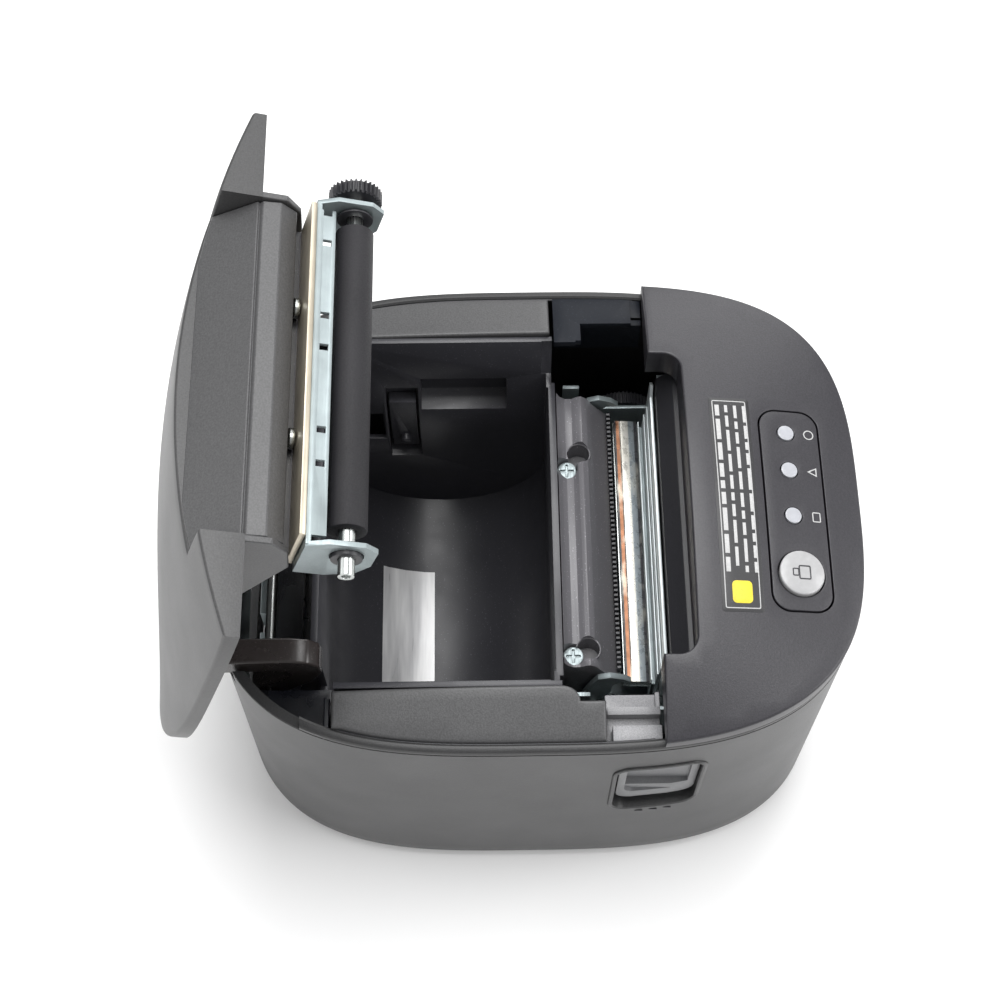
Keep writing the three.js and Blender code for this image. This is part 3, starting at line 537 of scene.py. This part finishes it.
class Skin:
    """Collects rings of points and the faces between them."""

    def __init__(self):
        self.points = []
        self.faces = []

    def ring(self, loop, height):
        first = len(self.points)
        for x, y in loop:
            z = height(x, y) if callable(height) else height
            self.points.append((x, y, z))
        return list(range(first, len(self.points)))

    def strip(self, a, b):
        count = len(a)
        for i in range(count):
            j = (i + 1) % count
            self.faces.append((a[i], a[j], b[j], b[i]))

    def fill(self, rings, height, spacing):
        """Triangles between an outer ring and the holes in it, with inner points."""
        loops = [[self.points[i][:2] for i in ring] for ring in rings]
        edge = np.array([p for loop in loops for p in loop])
        low, high = edge.min(0), edge.max(0)
        xs = np.arange(low[0] + spacing / 2, high[0], spacing)
        ys = np.arange(low[1] + spacing / 2, high[1], spacing)
        grid = np.array([(x, y) for x in xs for y in ys]).reshape(-1, 2)
        keep = inside(grid, loops[0])
        for hole in loops[1:]:
            keep &= ~inside(grid, hole)
        grid = grid[keep]
        if len(grid):
            gaps = grid[:, None, :] - edge[None, :, :]
            near = np.sqrt((gaps**2).sum(2)).min(1)
            grid = grid[near > spacing * 0.45]
        own = [i for ring in rings for i in ring] + self.ring(map(tuple, grid), height)
        flat = [Vector(self.points[i][:2]) for i in own]
        sides = []
        first = 0
        for loop in loops:
            count = len(loop)
            sides += [(first + i, first + (i + 1) % count) for i in range(count)]
            first += count
        found = delaunay_2d_cdt(flat, sides, [], 1, 1e-6)
        places, triangles, origin = found[0], found[2], found[3]
        middles = np.array([sum((places[i] for i in t), Vector((0, 0))) / 3 for t in triangles])
        skip = np.zeros(len(triangles), bool)
        for hole in loops[1:]:
            skip |= inside(middles, hole)
        for triangle, left_out in zip(triangles, skip):
            if not left_out:
                self.faces.append(tuple(own[origin[i][0]] for i in triangle))


def rounded_lip(skin, loop, top, radius, steps=4):
    """Rings that round the upper edge of a loop. Returns the first and the last."""
    rings = []
    for k in range(steps + 1):
        angle = math.pi / 2 * (1 - k / steps)
        reach = radius * (1 - math.cos(angle))
        drop = radius * (1 - math.sin(angle))
        moved = inset(loop, reach)
        rings.append(skin.ring(moved, lambda x, y: top(x, y) - drop))
    for a, b in zip(rings, rings[1:]):
        skin.strip(a, b)
    return rings[0], rings[-1]


def domed_shell(
    name, loop, holes, top, foot, material, body,
    edge=0.7, wall=WALL, depth=WALL, spacing=4.0, hole_edge=0.35, turn=None,
):
    """A shell under a curved top: outer walls down to foot, hollow below, holes through it."""
    skin = Skin()
    parts = side_parts(loop)
    inner = divide(inset(loop, wall), parts)
    loop = divide(loop, parts)
    upper, lower = rounded_lip(skin, loop, top, edge)
    base = skin.ring(loop, foot)
    inner_base = skin.ring(inner, foot)
    ceiling_at = lambda x, y: max(top(x, y) - depth, foot + 0.2)
    inner_top = skin.ring(inner, ceiling_at)
    skin.strip(lower, base)
    skin.strip(base, inner_base)
    skin.strip(inner_base, inner_top)
    top_rings, low_rings = [upper], [inner_top]
    for hole in holes:
        widened = list(reversed(hole))
        first, last = rounded_lip(skin, widened, top, hole_edge)
        under = skin.ring(widened, ceiling_at)
        skin.strip(last, under)
        top_rings.append(first)
        low_rings.append(under)
    skin.fill(top_rings, top, spacing)
    skin.fill(low_rings, ceiling_at, spacing * 1.5)
    return link_mesh(name, skin.points, skin.faces, material, body, turn)


def thin_plate(name, loop, top, thickness, material, body, edge=0.08):
    """A small plate that follows a surface."""
    skin = Skin()
    upper, lower = rounded_lip(skin, loop, top, edge, 2)
    under_at = lambda x, y: top(x, y) - thickness
    under = skin.ring(loop, under_at)
    skin.strip(lower, under)
    skin.fill([upper], top, 3.0)
    skin.fill([under], under_at, 3.0)
    return link_mesh(name, skin.points, skin.faces, material, body)


def prism(name, profile, axis, span, material, body, edge=0.3, turn=None):
    """A profile pushed along an axis, with edges rounded unless edge is 0."""
    place = {
        "X": lambda a, b, t: (t, a, b),
        "Y": lambda a, b, t: (a, t, b),
        "Z": lambda a, b, t: (a, b, t),
    }[axis]
    count = len(profile)
    points = [place(a, b, t) for t in span for a, b in profile]
    faces = [tuple(range(count)), tuple(range(2 * count - 1, count - 1, -1))]
    for i in range(count):
        j = (i + 1) % count
        faces.append((i, i + count, j + count, j))
    piece = link_mesh(name, points, faces, material, body, turn)
    if edge:
        round_edges(piece, edge, 3)
        smooth_last(piece)
    return piece


def carve(piece, cutters):
    """Cuts shapes out of a piece and removes them."""
    for cutter in cutters:
        cut = piece.modifiers.new("cut", "BOOLEAN")
        cut.solver = "EXACT"
        cut.object = cutter
    graph = bpy.context.evaluated_depsgraph_get()
    mesh = bpy.data.meshes.new_from_object(piece.evaluated_get(graph))
    piece.modifiers.clear()
    piece.data = mesh
    for cutter in cutters:
        bpy.data.objects.remove(cutter)
    for face in mesh.polygons:
        face.use_smooth = True
    mesh.set_sharp_from_angle(angle=BEVEL_FROM)


def tube(name, points, radius, material, body):
    """A round wire along a list of points."""
    curve = bpy.data.curves.new(name, "CURVE")
    curve.dimensions = "3D"
    curve.bevel_depth = radius * MM
    curve.bevel_resolution = 4
    curve.use_fill_caps = True
    line = curve.splines.new("POLY")
    line.points.add(len(points) - 1)
    for slot, place in zip(line.points, points):
        slot.co = (*(Vector(place) * MM), 1)
    curve.materials.append(material)
    wire = bpy.data.objects.new(name, curve)
    bpy.context.scene.collection.objects.link(wire)
    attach(wire, body)


# ---- Materials of the printer ----
make_camera()
make_light()
make_floor()
SMOOTH = smooth_group()
# The next four are copies of one textured plastic. Their base colours differ only to paint light
# and shade: lightest on the ledges, lid cheeks and nose, middle on the lid, darkest on the case
# and front cover.
SHELL_LIT = moulded("textured_shell_lit", (0.068, 0.068, 0.07), 0.4)
CASE_SHADED = moulded("case_shell", (0.026, 0.026, 0.027), 0.4)
LID_SHADED = moulded("lid_shell", (0.042, 0.042, 0.043), 0.4)
COVER_SHADED = moulded("cover_shell", (0.028, 0.027, 0.032), 0.36)
SATIN = moulded("satin_black", (0.026, 0.026, 0.03), 0.38, grain=0.3, depth=0.015)
BLACK = glossy("glossy_black", (0.036, 0.036, 0.042), 0.3)
ARM = glossy("arm_black", (0.03, 0.025, 0.024), 0.2)
# The black guide's base colour is lifted to a mid grey to paint the light shining off its slopes.
GUIDE_LIT = glossy("guide_black_lit", (0.14, 0.137, 0.148), 0.3)
DECK = glossy("deck_black", (0.008, 0.01, 0.015), 0.4, shine=0.18)
PITCH = glossy("pitch_black", (0.008, 0.009, 0.013), 0.22)
TRIM = moulded("deck_grey", (0.26, 0.26, 0.27), 0.36, grain=0.3, depth=0.015)
ZINC = sheet_metal("zinc_plated", (0.33, 0.38, 0.39), 0.42, mottle=0.06, metallic=0.65)
STEEL = sheet_metal("bright_steel", (0.5, 0.52, 0.51), 0.26)
GROUND = sheet_metal("ground_steel", (0.6, 0.65, 0.66), 0.34, metallic=0.4)
BLADE = sheet_metal("blade_steel", (0.62, 0.56, 0.45), 0.38, mottle=0.05, metallic=0.8)
BRASS = sheet_metal("brass", (0.75, 0.55, 0.25), 0.25)
ROLLER = rubber("platen_rubber", (0.011, 0.0105, 0.0125))
FEET = rubber("foot_rubber", (0.02, 0.02, 0.02))
HEAD = head_face(
    "head_bands",
    [
        (0.0, (0.03, 0.03, 0.03)),
        (0.1, (0.2, 0.085, 0.04)),
        (0.24, (0.05, 0.04, 0.035)),
        (0.3, (0.6, 0.585, 0.54)),
        (0.62, (0.25, 0.28, 0.3)),
        (0.86, (0.07, 0.07, 0.075)),
    ],
)
LENS = lens("light_lens", (0.42, 0.43, 0.46))
BUTTON = lens("button_cap", (0.4, 0.4, 0.405))
LEVER = moulded("lever_grey", (0.15, 0.152, 0.158), 0.4, speckle=0.08)
INK = print_ink("pale_ink", (0.5, 0.5, 0.5))
YELLOW = print_ink("yellow_ink", (0.75, 0.6, 0.03))
LABEL = glossy("label_film", (0.02, 0.02, 0.022), 0.35)
PLATE = bare_plate("bare_plate")
BOARD = circuit("circuit_board")


# ---- Lower case ----
def make_case():
    """The outer shell: rings at heights and insets, up the outside and down the inside."""
    skin = Skin()
    outer_levels = [(0.4, 3.0), (0.7, 2.0), (1.6, 1.1), (2.8, 0.4), (4.0, 0.0)]
    outer_levels += [(4 + (RIM - 5.4) * k / 20, 0.0) for k in range(1, 20)]
    outer_levels += [(RIM - 2.6, 0.0), (RIM - 2.55, 0.7), (RIM - 2.1, 0.7), (RIM - 2.05, 0.05)]
    outer_levels += [(RIM - 0.8, 0.12), (RIM - 0.35, 0.4), (RIM, 1.1)]
    inner_levels = [(RIM, 2.0), (RIM - 0.4, WALL)]
    inner_levels += [(RIM - 1 - (RIM - 4) * k / 20, WALL) for k in range(21)]
    inner_levels += [(0.4, WALL + 1)]
    rings = [skin.ring(outline(z, gap), z) for z, gap in outer_levels + inner_levels]
    for a, b in zip(rings, rings[1:]):
        skin.strip(a, b)
    skin.strip(rings[-1], rings[0])
    case = link_mesh("case_shell", skin.points, skin.faces, CASE_SHADED, None)
    window = rounded_rectangle(*LEVER_WINDOW, LEVER_WINDOW_RADIUS, 10)
    sockets = rounded_rectangle((-41, 41), (10.2, 29), 2)
    side = rounded_rectangle((-42.8, -29.2), (13.6, 34.4), 0.6)
    relief = rounded_rectangle((-80, 80), (62, 95), 0.5)
    cutters = [
        prism("cut_lever", window, "X", (-80, -60), SHELL_LIT, None, edge=0),
        prism("cut_sockets", sockets, "Y", (80, 96), SHELL_LIT, None, edge=0),
        prism("cut_switch", side, "X", (64, 80), SHELL_LIT, None, edge=0),
        prism("cut_rear", relief, "Z", (RIM - 1.8, RIM + 3), SHELL_LIT, None, edge=0),
    ]
    for number, sign in enumerate((-1, 1)):
        notch = rounded_rectangle((sign * ARM_X - 4.8, sign * ARM_X + 4.8), (70, 95), 1)
        cutters.append(prism(f"cut_arm_{number}", notch, "Z", (91, RIM + 3), SHELL_LIT, None, edge=0))
    carve(case, cutters)
    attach(case, "base")
    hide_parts("lower_case")


def make_rim_gap_shadows():
    """Dark cord in the gap between the case's rim and each ledge, as painted shadow in that gap.
    """
    ring = outline(RIM, WALL + 0.15, FINE_COUNT)
    for name, side in (("near", -1), ("far", 1)):
        half = [p for p in ring if p[0] * side > 30 and -34 < p[1] < 52]
        half.sort(key=lambda p: p[1])
        path = [(x, y, RIM - 1.1) for x, y in half]
        # The cord's black paints the shade in the seam gap.
        tube(f"rim_gap_shadow_{name}", path, 0.42, SATIN, "base")


def case_x(height, y):
    """Where the left wall's outer face is, at that height and depth."""
    rise = min(height, RIM) / RIM
    half = CASE_HALF - TAPER_X * rise
    reach = (CASE_FRONT if y < 0 else CASE_REAR) - TAPER_Y * rise
    return -half * (1 - (abs(y) / reach) ** CORNER) ** (1 / CORNER)


def make_lever_bezel():
    """The rounded lip and the tray around the lever that opens the lid."""
    skin = Skin()
    loop = dense(rounded_rectangle(*LEVER_WINDOW, LEVER_WINDOW_RADIUS, 10), 1.0)
    # Each section is how far it reaches past the window, and how far it stands off the wall.
    sections = [(0.9, 0.05), (0.6, 0.45), (0.0, 0.62), (-0.5, 0.3), (-0.7, -0.8), (-0.7, -7.5)]
    rings = []
    for reach, stand in sections:
        first = len(skin.points)
        for y, z in inset(loop, -reach):
            skin.points.append((case_x(z, y) - stand, y, z))
        rings.append(list(range(first, len(skin.points))))
    for a, b in zip(rings, rings[1:]):
        skin.strip(a, b)
    bezel = link_mesh("lever_bezel", skin.points, skin.faces, CASE_SHADED, "base")
    solid = bezel.modifiers.new("thickness", "SOLIDIFY")
    solid.thickness = 0.5 * MM
    solid.offset = -1


def make_lever_mark():
    """Three short raised bars under the lever."""
    for number, y in enumerate((-40.5, -36.3, -32.1)):
        x = case_x(44.6, y)
        bar = rounded_rectangle((y - 1.2, y + 1.2), (44.2, 45.4), 0.5, 3)
        prism(f"lever_mark_{number}", bar, "X", (x - 0.25, x + 0.8), SATIN, "base", edge=0.1)


# ---- Front cover ----
# Places are (x, x), (y, y) for the panel and sticker, and x, y, radius for the button's knob.
PANEL = ((-35.6, 24.4), (-82, -65.2))
STICKER = ((-36.5, 27.6), (-62.7, -51.2))
LIGHTS = ((17.3, -72.7), (5.6, -72.7), (-8.2, -72.7))
KNOB = (-25.1, -73.7, 6.3)


def cover_loop():
    front = [p for p in outline(RIM, 0, FINE_COUNT) if p[1] < COVER_REAR - CORNER_CLEAR]
    left, right = EXIT_X
    radius = 5
    turns = [math.radians(9 * k) for k in range(11)]
    near = [
        (right - radius + radius * math.cos(a), EXIT_FRONT + radius - radius * math.sin(a))
        for a in turns
    ]
    far = [
        (left + radius - radius * math.sin(a), EXIT_FRONT + radius - radius * math.cos(a))
        for a in turns
    ]
    corner = -case_x(RIM, COVER_REAR)
    return [
        *front,
        (corner, COVER_REAR),
        (right, COVER_REAR),
        *near,
        *far,
        (left, COVER_REAR),
        (-corner, COVER_REAR),
    ]


def grown(rectangle, margin):
    """A rectangle's two spans, each longer by the margin at both ends."""
    return [(low - margin, high + margin) for low, high in rectangle]


def make_cover():
    """The domed cover, with the control panel as an island in a groove."""
    groove = rounded_rectangle(*grown(PANEL, 0.35), 5.3, 8)
    holes = [dense(groove, 2.5)]
    foot = RIM + GAP
    cover = domed_shell(
        "front_cover_shell", cover_loop(), holes, dome, foot, COVER_SHADED, "base", hole_edge=0.25
    )
    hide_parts("front_cover")
    island = rounded_rectangle(*grown(PANEL, -0.1), 4.9, 8)
    holes = [circle(x, y, 2.55) for x, y in LIGHTS]
    holes.append(circle(KNOB[0], KNOB[1], KNOB[2] + 0.3, 64))
    panel = domed_shell(
        "panel_island",
        island,
        holes,
        dome,
        RIM + 1.0,
        COVER_SHADED,
        "base",
        edge=0.25,
        hole_edge=0.3,
        spacing=3.0,
        wall=1.0,
    )


def make_panel_prints():
    """A ring, a triangle and a square, one in front of each status light."""
    above = lambda x, y: dome(x, y, 0.03)
    y = -79.3
    ring_x, triangle_x, square_x = [x for x, _ in LIGHTS]
    square = (square_x - 1.5, square_x + 1.5), (y - 1.2, y + 1.2)
    loops = {
        "light_sign_ring": dense(circle(ring_x, y, 1.5, 24), 1),
        "light_sign_square": rounded_rectangle(*square, 0.4, 2),
        "light_sign_triangle": [
            (triangle_x - 1.4, y - 1.3),
            (triangle_x + 1.4, y - 1.3),
            (triangle_x, y + 1.5),
        ],
    }
    for name, loop in loops.items():
        outline_print(name, loop, above, 0.32)


def outline_print(name, loop, top, width, body="base", material=INK):
    """A printed line of that width around a loop."""
    skin = Skin()
    outer = skin.ring(loop, top)
    inner = skin.ring(inset(loop, width), top)
    skin.strip(outer, inner)
    piece = link_mesh(name, skin.points, skin.faces, material, body)
    solid = piece.modifiers.new("thickness", "SOLIDIFY")
    solid.thickness = 0.03 * MM
    solid.offset = 0


def make_sticker():
    """A dark film with a pale frame and rows of plain bars."""
    (x0, x1), (y0, y1) = STICKER
    film_top = lambda x, y: dome(x, y, 0.06)
    ink_top = lambda x, y: dome(x, y, 0.1)
    loop = dense(rounded_rectangle(*STICKER, 0.8, 3), 3)
    film = thin_plate("label_film", loop, film_top, 0.3, LABEL, "base")
    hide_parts("notice_label")
    frame_loop = dense(rounded_rectangle(*grown(STICKER, -0.9), 0.5, 2), 3)
    outline_print("label_frame", frame_loop, ink_top, 0.3)
    rows = 4
    row_pitch = 2.55
    lengths = (3.6, 5.4, 2.4, 6.6, 4.2)
    for row in range(rows):
        y = y1 - 2.3 - row * row_pitch
        x = x1 - 2.4
        word = 0
        while x > x0 + 12.5:
            length = lengths[(word * 3 + row * 2) % len(lengths)]
            end = max(x - length, x0 + 11)
            height = 0.62 if row == 0 else 0.45
            bar = [(end, y - height), (x, y - height), (x, y + height), (end, y + height)]
            thin_plate(f"label_bar_{row}_{word}", dense(bar, 3), ink_top, 0.05, INK, "base", 0.02)
            x = end - 1.1
            word += 1
    patch = rounded_rectangle((x0 + 2.4, x0 + 8.6), (y0 + 3, y1 - 3), 1.2, 4)
    thin_plate("label_patch", patch, ink_top, 0.05, YELLOW, "base", 0.02)


def make_button():
    """The feed button, printed with two plain rectangles."""
    dress("feed_button", BUTTON, 0.5, 3)
    x, y, _ = KNOB
    top = lambda a, b: dome(a, b, 1.25)
    tray = rounded_rectangle((x - 2.0, x + 2.0), (y - 2.4, y + 1.0), 0.5, 3)
    sheet = rounded_rectangle((x - 1.1, x + 1.1), (y + 0.9, y + 2.7), 0.3, 2)
    outline_print("button_sign_tray", tray, top, 0.35, "feed_button", SATIN)
    outline_print("button_sign_sheet", sheet, top, 0.3, "feed_button", SATIN)


# ---- Ledges beside the bay ----
def ledge_loop(side):
    rear = 53.5
    front = -7.6 if side > 0 else -19.8
    edge = outline(RIM, WALL + 0.4, FINE_COUNT)
    arc = sorted(
        (p for p in edge if p[0] * side > 40 and front + 2.4 < p[1] < rear - 2.4),
        key=lambda p: p[1],
    )
    # The arc's ends run on in a straight line to the loop's corners.
    first = (2 * arc[0][0] - arc[1][0], front)
    last = (2 * arc[-1][0] - arc[-2][0], rear)
    if side > 0:
        return [(54, front), first, *arc, last, (54, rear)]
    turns = [math.radians(10 * k) for k in range(9, -1, -1)]
    bend = [(-58 + 4 * math.cos(a), -7.8 - 5.2 * math.sin(a)) for a in turns]
    return [(-54, rear), last, *reversed(arc), first, (-58, front), *bend]


def make_ledges():
    for name, side in (("right_ledge", 1), ("left_ledge", -1)):
        top = lambda x, y: dome(x, y, -4.5)
        piece = domed_shell(
            name + "_top", ledge_loop(side), [], top, 98.0, SHELL_LIT, "base", edge=0.9, wall=1.8
        )
        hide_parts(name)


# ---- Lid ----
def lid_loop():
    ring = outline(RIM, 0, FINE_COUNT)
    lowest = FINE_COUNT * 3 // 4
    ring = ring[lowest:] + ring[:lowest]
    rear = [p for p in ring if p[1] > LID_FRONT + CORNER_CLEAR]
    corner = -case_x(RIM, LID_FRONT)
    # The notch for the nose.
    half = 45.5
    back = -20.6
    return [
        (corner, LID_FRONT),
        *rear,
        (-corner, LID_FRONT),
        (-half, LID_FRONT),
        (-half, back),
        (half, back),
        (half, LID_FRONT),
    ]


def make_lid_shell():
    shell = domed_shell(
        "lid_cover", lid_loop(), [], dome, RIM + GAP, LID_SHADED, "lid", turn=LID_OPEN, edge=0.8
    )
    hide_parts("lid_shell")
    for name, side in (("left", -1), ("right", 1)):
        profile = [
            (LID_FRONT + 0.2, 104.5),
            (LID_FRONT + 0.2, 97),
            (-30, 92.8),
            (-22, 91),
            (-2, 99),
            (-2, 104.5),
        ]
        span = sorted((side * 45.6, side * 47.3))
        prism(f"lid_cheek_{name}", profile, "X", span, SHELL_LIT, "lid", turn=LID_OPEN)


def make_nose():
    """The lid's nose over the paper exit: level on top, and lower towards both ends."""
    lip = 104.1
    full_crest = 116.5
    underside = [(-32.3, 103.6), (-33.4, 103.0), (-33.9, 98.4), (-30.8, 93.9), (-15, 93.9)]
    stations = 15
    half = 45.3
    points = []
    for number in range(stations):
        x = half * (2 * number / (stations - 1) - 1)
        crest = min(full_crest, dome(x, -21.5) - 0.4)
        slope = (crest - lip) / (full_crest - lip)
        face = [(-10, crest - 4.5), (-32.9 + 12.3 * slope, crest), (-32.9, lip)]
        points += [(x, y, z) for y, z in underside + face]
    count = len(underside) + 3
    faces = [tuple(range(count)), tuple(range((stations - 1) * count, stations * count))]
    for number in range(stations - 1):
        for i in range(count):
            j = (i + 1) % count
            a, b = number * count, (number + 1) * count
            faces.append((a + i, a + j, b + j, b + i))
    nose = link_mesh("lid_nose", points, faces, SHELL_LIT, "lid", LID_OPEN)
    round_edges(nose, 0.3, 3)
    smooth_last(nose)
    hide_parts("lid_liner")


def make_lid_ceiling():
    ceiling = rounded_rectangle((-49.5, 49.5), (-12, 68), 3)
    top = lambda x, y: dome(x, y, -3.1)
    liner = domed_shell(
        "lid_ceiling", ceiling, [], top, 104.0, SATIN, "lid", turn=LID_OPEN, wall=2, depth=2
    )


def make_lid_arms():
    """Two gooseneck arms that reach from the lid round to the hinge rod."""
    arm = [
        (56, 108),
        (52.6, 95),
        (46.9, 78),
        (46.6, 73),
        (48.6, 69.4),
        (53, 67.6),
        (60, 68.2),
        (70, 73.2),
        (74.6, 74.3),
        (77.4, 76.2),
        (78.4, 79.2),
        (77.2, 82.1),
        (74.2, 83.4),
        (69.6, 82.4),
        (61.6, 77.4),
        (57.2, 75.4),
        (54.8, 77),
        (55.2, 80.4),
        (60.4, 94),
        (64, 108),
    ]
    for name, side in (("left", -1), ("right", 1)):
        span = sorted((side * (ARM_X - 3.6), side * (ARM_X + 3.6)))
        piece = prism(f"lid_arm_{name}", arm, "X", span, ARM, "lid", turn=LID_OPEN, edge=0.6)


# ---- Bay, mechanism and small parts ----
def make_bay():
    """The paper bucket and the decks and guide beside it, as CAD made them."""
    dress("paper_bucket", BLACK, 0.5)
    dress("near_end_sensor", BLACK, 0.2)
    dress("bucket_plate", PLATE, 0)
    dress("paper_guide", GUIDE_LIT, 0.4)
    dress("gear_side_deck", DECK, 0.3)
    dress("lever_side_deck", TRIM, 0.3)


def make_aprons():
    """Black floor on both sides of the hinge, behind the bucket."""
    ring = outline(RIM, WALL + 1.2, FINE_COUNT)
    for name, side in (("near", -1), ("far", 1)):
        arc = [p for p in ring if p[0] * side > 50.5 and p[1] > 54]
        arc.sort(key=lambda p: p[1] * side)
        ends = (arc[-1][1], arc[0][1])
        loop = arc + [(side * 48.6, y) for y in ends]
        flat = lambda x, y: 90.0
        thin_plate(f"rear_apron_{name}", loop, flat, 1.4, PITCH, "base", 0.2)
        lip = [(54.2, 78), (54.2, 101), (55.8, 101), (55.8, 78)]
        span = sorted((side * 54.5, side * 66))
        prism(f"apron_wall_{name}", lip, "X", span, PITCH, "base", edge=0.4)
    shelf = rounded_rectangle((-46, 46), (61.6, 77), 2)
    prism("socket_cover", shelf, "Z", (40, 41.5), PITCH, "base", edge=0.3)


def make_lid_backing():
    """Black plate behind the bracket's screws."""
    slab = [(-23.5, 90.6), (-23.5, 94.6), (-18, 94.6), (-18, 90.6)]
    prism("lid_backing", slab, "X", (-44.5, 44.5), BLACK, "lid", turn=LID_OPEN)


def make_strips():
    """Thin bright strips between the print head and the front guide plate."""
    for name, y, top in (("low", -35.2, 74.6), ("middle", -36.6, 79.5), ("high", -37.15, 84.5)):
        profile = [(y - 0.2, 62), (y - 0.2, top), (y + 0.2, top), (y + 0.2, 62)]
        prism(f"strip_{name}", profile, "X", (-41.6, 41.6), GROUND, "base", edge=0.08)
    floor = [(-37.4, 70), (-37.4, 71), (-35, 71), (-35, 70)]
    prism("strip_floor", floor, "X", (-41.6, 41.6), ZINC, "base", edge=0.1)


def make_comb():
    """Row of small teeth along the guide's front edge."""
    teeth = 56
    length = 82
    pitch = length / teeth
    half = 0.4
    front, back = -26.1, -24.9
    sides = [(k, (k + 1) % 4, (k + 1) % 4 + 4, k + 4) for k in range(4)]
    points = []
    faces = []
    for number in range(teeth):
        x = -length / 2 + pitch * (number + 0.5)
        first = len(points)
        for z in (79.2, 82.2):
            points += [(x - half, front, z), (x + half, front, z)]
            points += [(x + half, back, z), (x - half, back, z)]
        for face in ((0, 1, 2, 3), (4, 5, 6, 7), *sides):
            faces.append(tuple(first + i for i in face))
    comb = link_mesh("guide_comb", points, faces, SATIN, "base")
    round_edges(comb, 0.1, 1)


def make_wells():
    """Raised rims of the guide's two screw wells."""
    radius = 3.4
    height = 87.9
    angles = [math.radians(-165 + 10 * k) for k in range(25)]
    for number, (x, y) in enumerate(((24, -15.8), (-37, -16.6))):
        path = [(x + radius * math.cos(a), y + radius * math.sin(a), height) for a in angles]
        tube(f"well_rim_{number}", path, 0.25, GUIDE_LIT, "base")


def make_springs():
    """Wire springs around the latch shaft's ends, each with one straight leg."""
    turns = 5
    steps = 16
    pitch = 0.55
    radius = 2.7
    shaft_y, shaft_z = -18.6, 62
    for name, x in (("near", -47.5), ("far", 46.5)):
        path = []
        for k in range(turns * steps + 1):
            angle = 2 * math.pi * k / steps
            y = shaft_y + radius * math.cos(angle)
            z = shaft_z + radius * math.sin(angle)
            path.append((x + pitch * k / steps, y, z))
        path.append((path[-1][0], -24.5, 71.5))
        tube(f"latch_spring_{name}", path, 0.25, STEEL, "base")


def make_head():
    """The print head, the cutter and the motors, as CAD made them."""
    dress("print_head", HEAD, 0.1)
    dress("heat_sink", STEEL, 0.2)
    dress("mechanism_frame", ZINC, 0.2)
    dress("front_guide_plate", GROUND, 0.15)
    dress("moving_blade", GROUND, 0.15)
    dress("cutter_housing", SATIN, 0.4)
    dress("cutter_motor", ZINC, 0.3)
    dress("cutter_pinion", BRASS, 0.06)
    dress("feed_motor", ZINC, 0.5)


def make_rest():
    """Gears, latch, sockets, feet, screws, lights and the platen unit, as CAD made them."""
    for name in ("drive_gear", "platen_gear"):
        dress(name, SATIN, 0.05, 1)
    dress("idler_gear", LENS, 0.05, 1)
    dress("motor_pinion", BRASS, 0.05, 1)
    dress("latch", ZINC, 0.2)
    dress("open_lever", LEVER, 0.6, 3)
    dress("hinge_bracket", PITCH, 0.2)
    dress("hinge_rod", STEEL, 0.2)
    dress("main_board", BOARD, 0.1)
    dress("dc_inlet", SATIN, 0.3)
    dress("drawer_port", SATIN, 0.3)
    dress("usb_port", ZINC, 0.25)
    dress("network_port", ZINC, 0.25)
    dress("switch_frame", SATIN, 0.3)
    dress("power_switch", BLACK, 0.3)
    dress("bottom_plate", SATIN, 0.4)
    for number in range(1, 5):
        dress(f"rubber_foot_{number}", FEET, 0.3)
        dress(f"case_screw_{number}", ZINC, 0.15)
    for number in range(1, 4):
        dress(f"status_light_{number}", LENS, 0.3, 3)
    for number in range(1, 3):
        dress(f"guide_screw_{number}", ZINC, 0.12)
        dress(f"bracket_screw_{number}", STEEL, 0.5, 3)
    dress("platen_bracket", ZINC, 0.25)
    dress("fixed_blade", BLADE, 0.12)
    dress("left_bearing", SATIN, 0.2)
    dress("right_bearing", SATIN, 0.2)
    dress("platen_shaft", STEEL, 0.2)
    dress("platen_rubber", ROLLER, 0.4)


make_case()
make_rim_gap_shadows()
make_lever_bezel()
make_lever_mark()
make_cover()
make_panel_prints()
make_sticker()
make_button()
make_ledges()
make_lid_shell()
make_nose()
make_lid_ceiling()
make_lid_arms()
make_bay()
make_aprons()
make_lid_backing()
make_strips()
make_comb()
make_wells()
make_springs()
make_head()
make_rest()
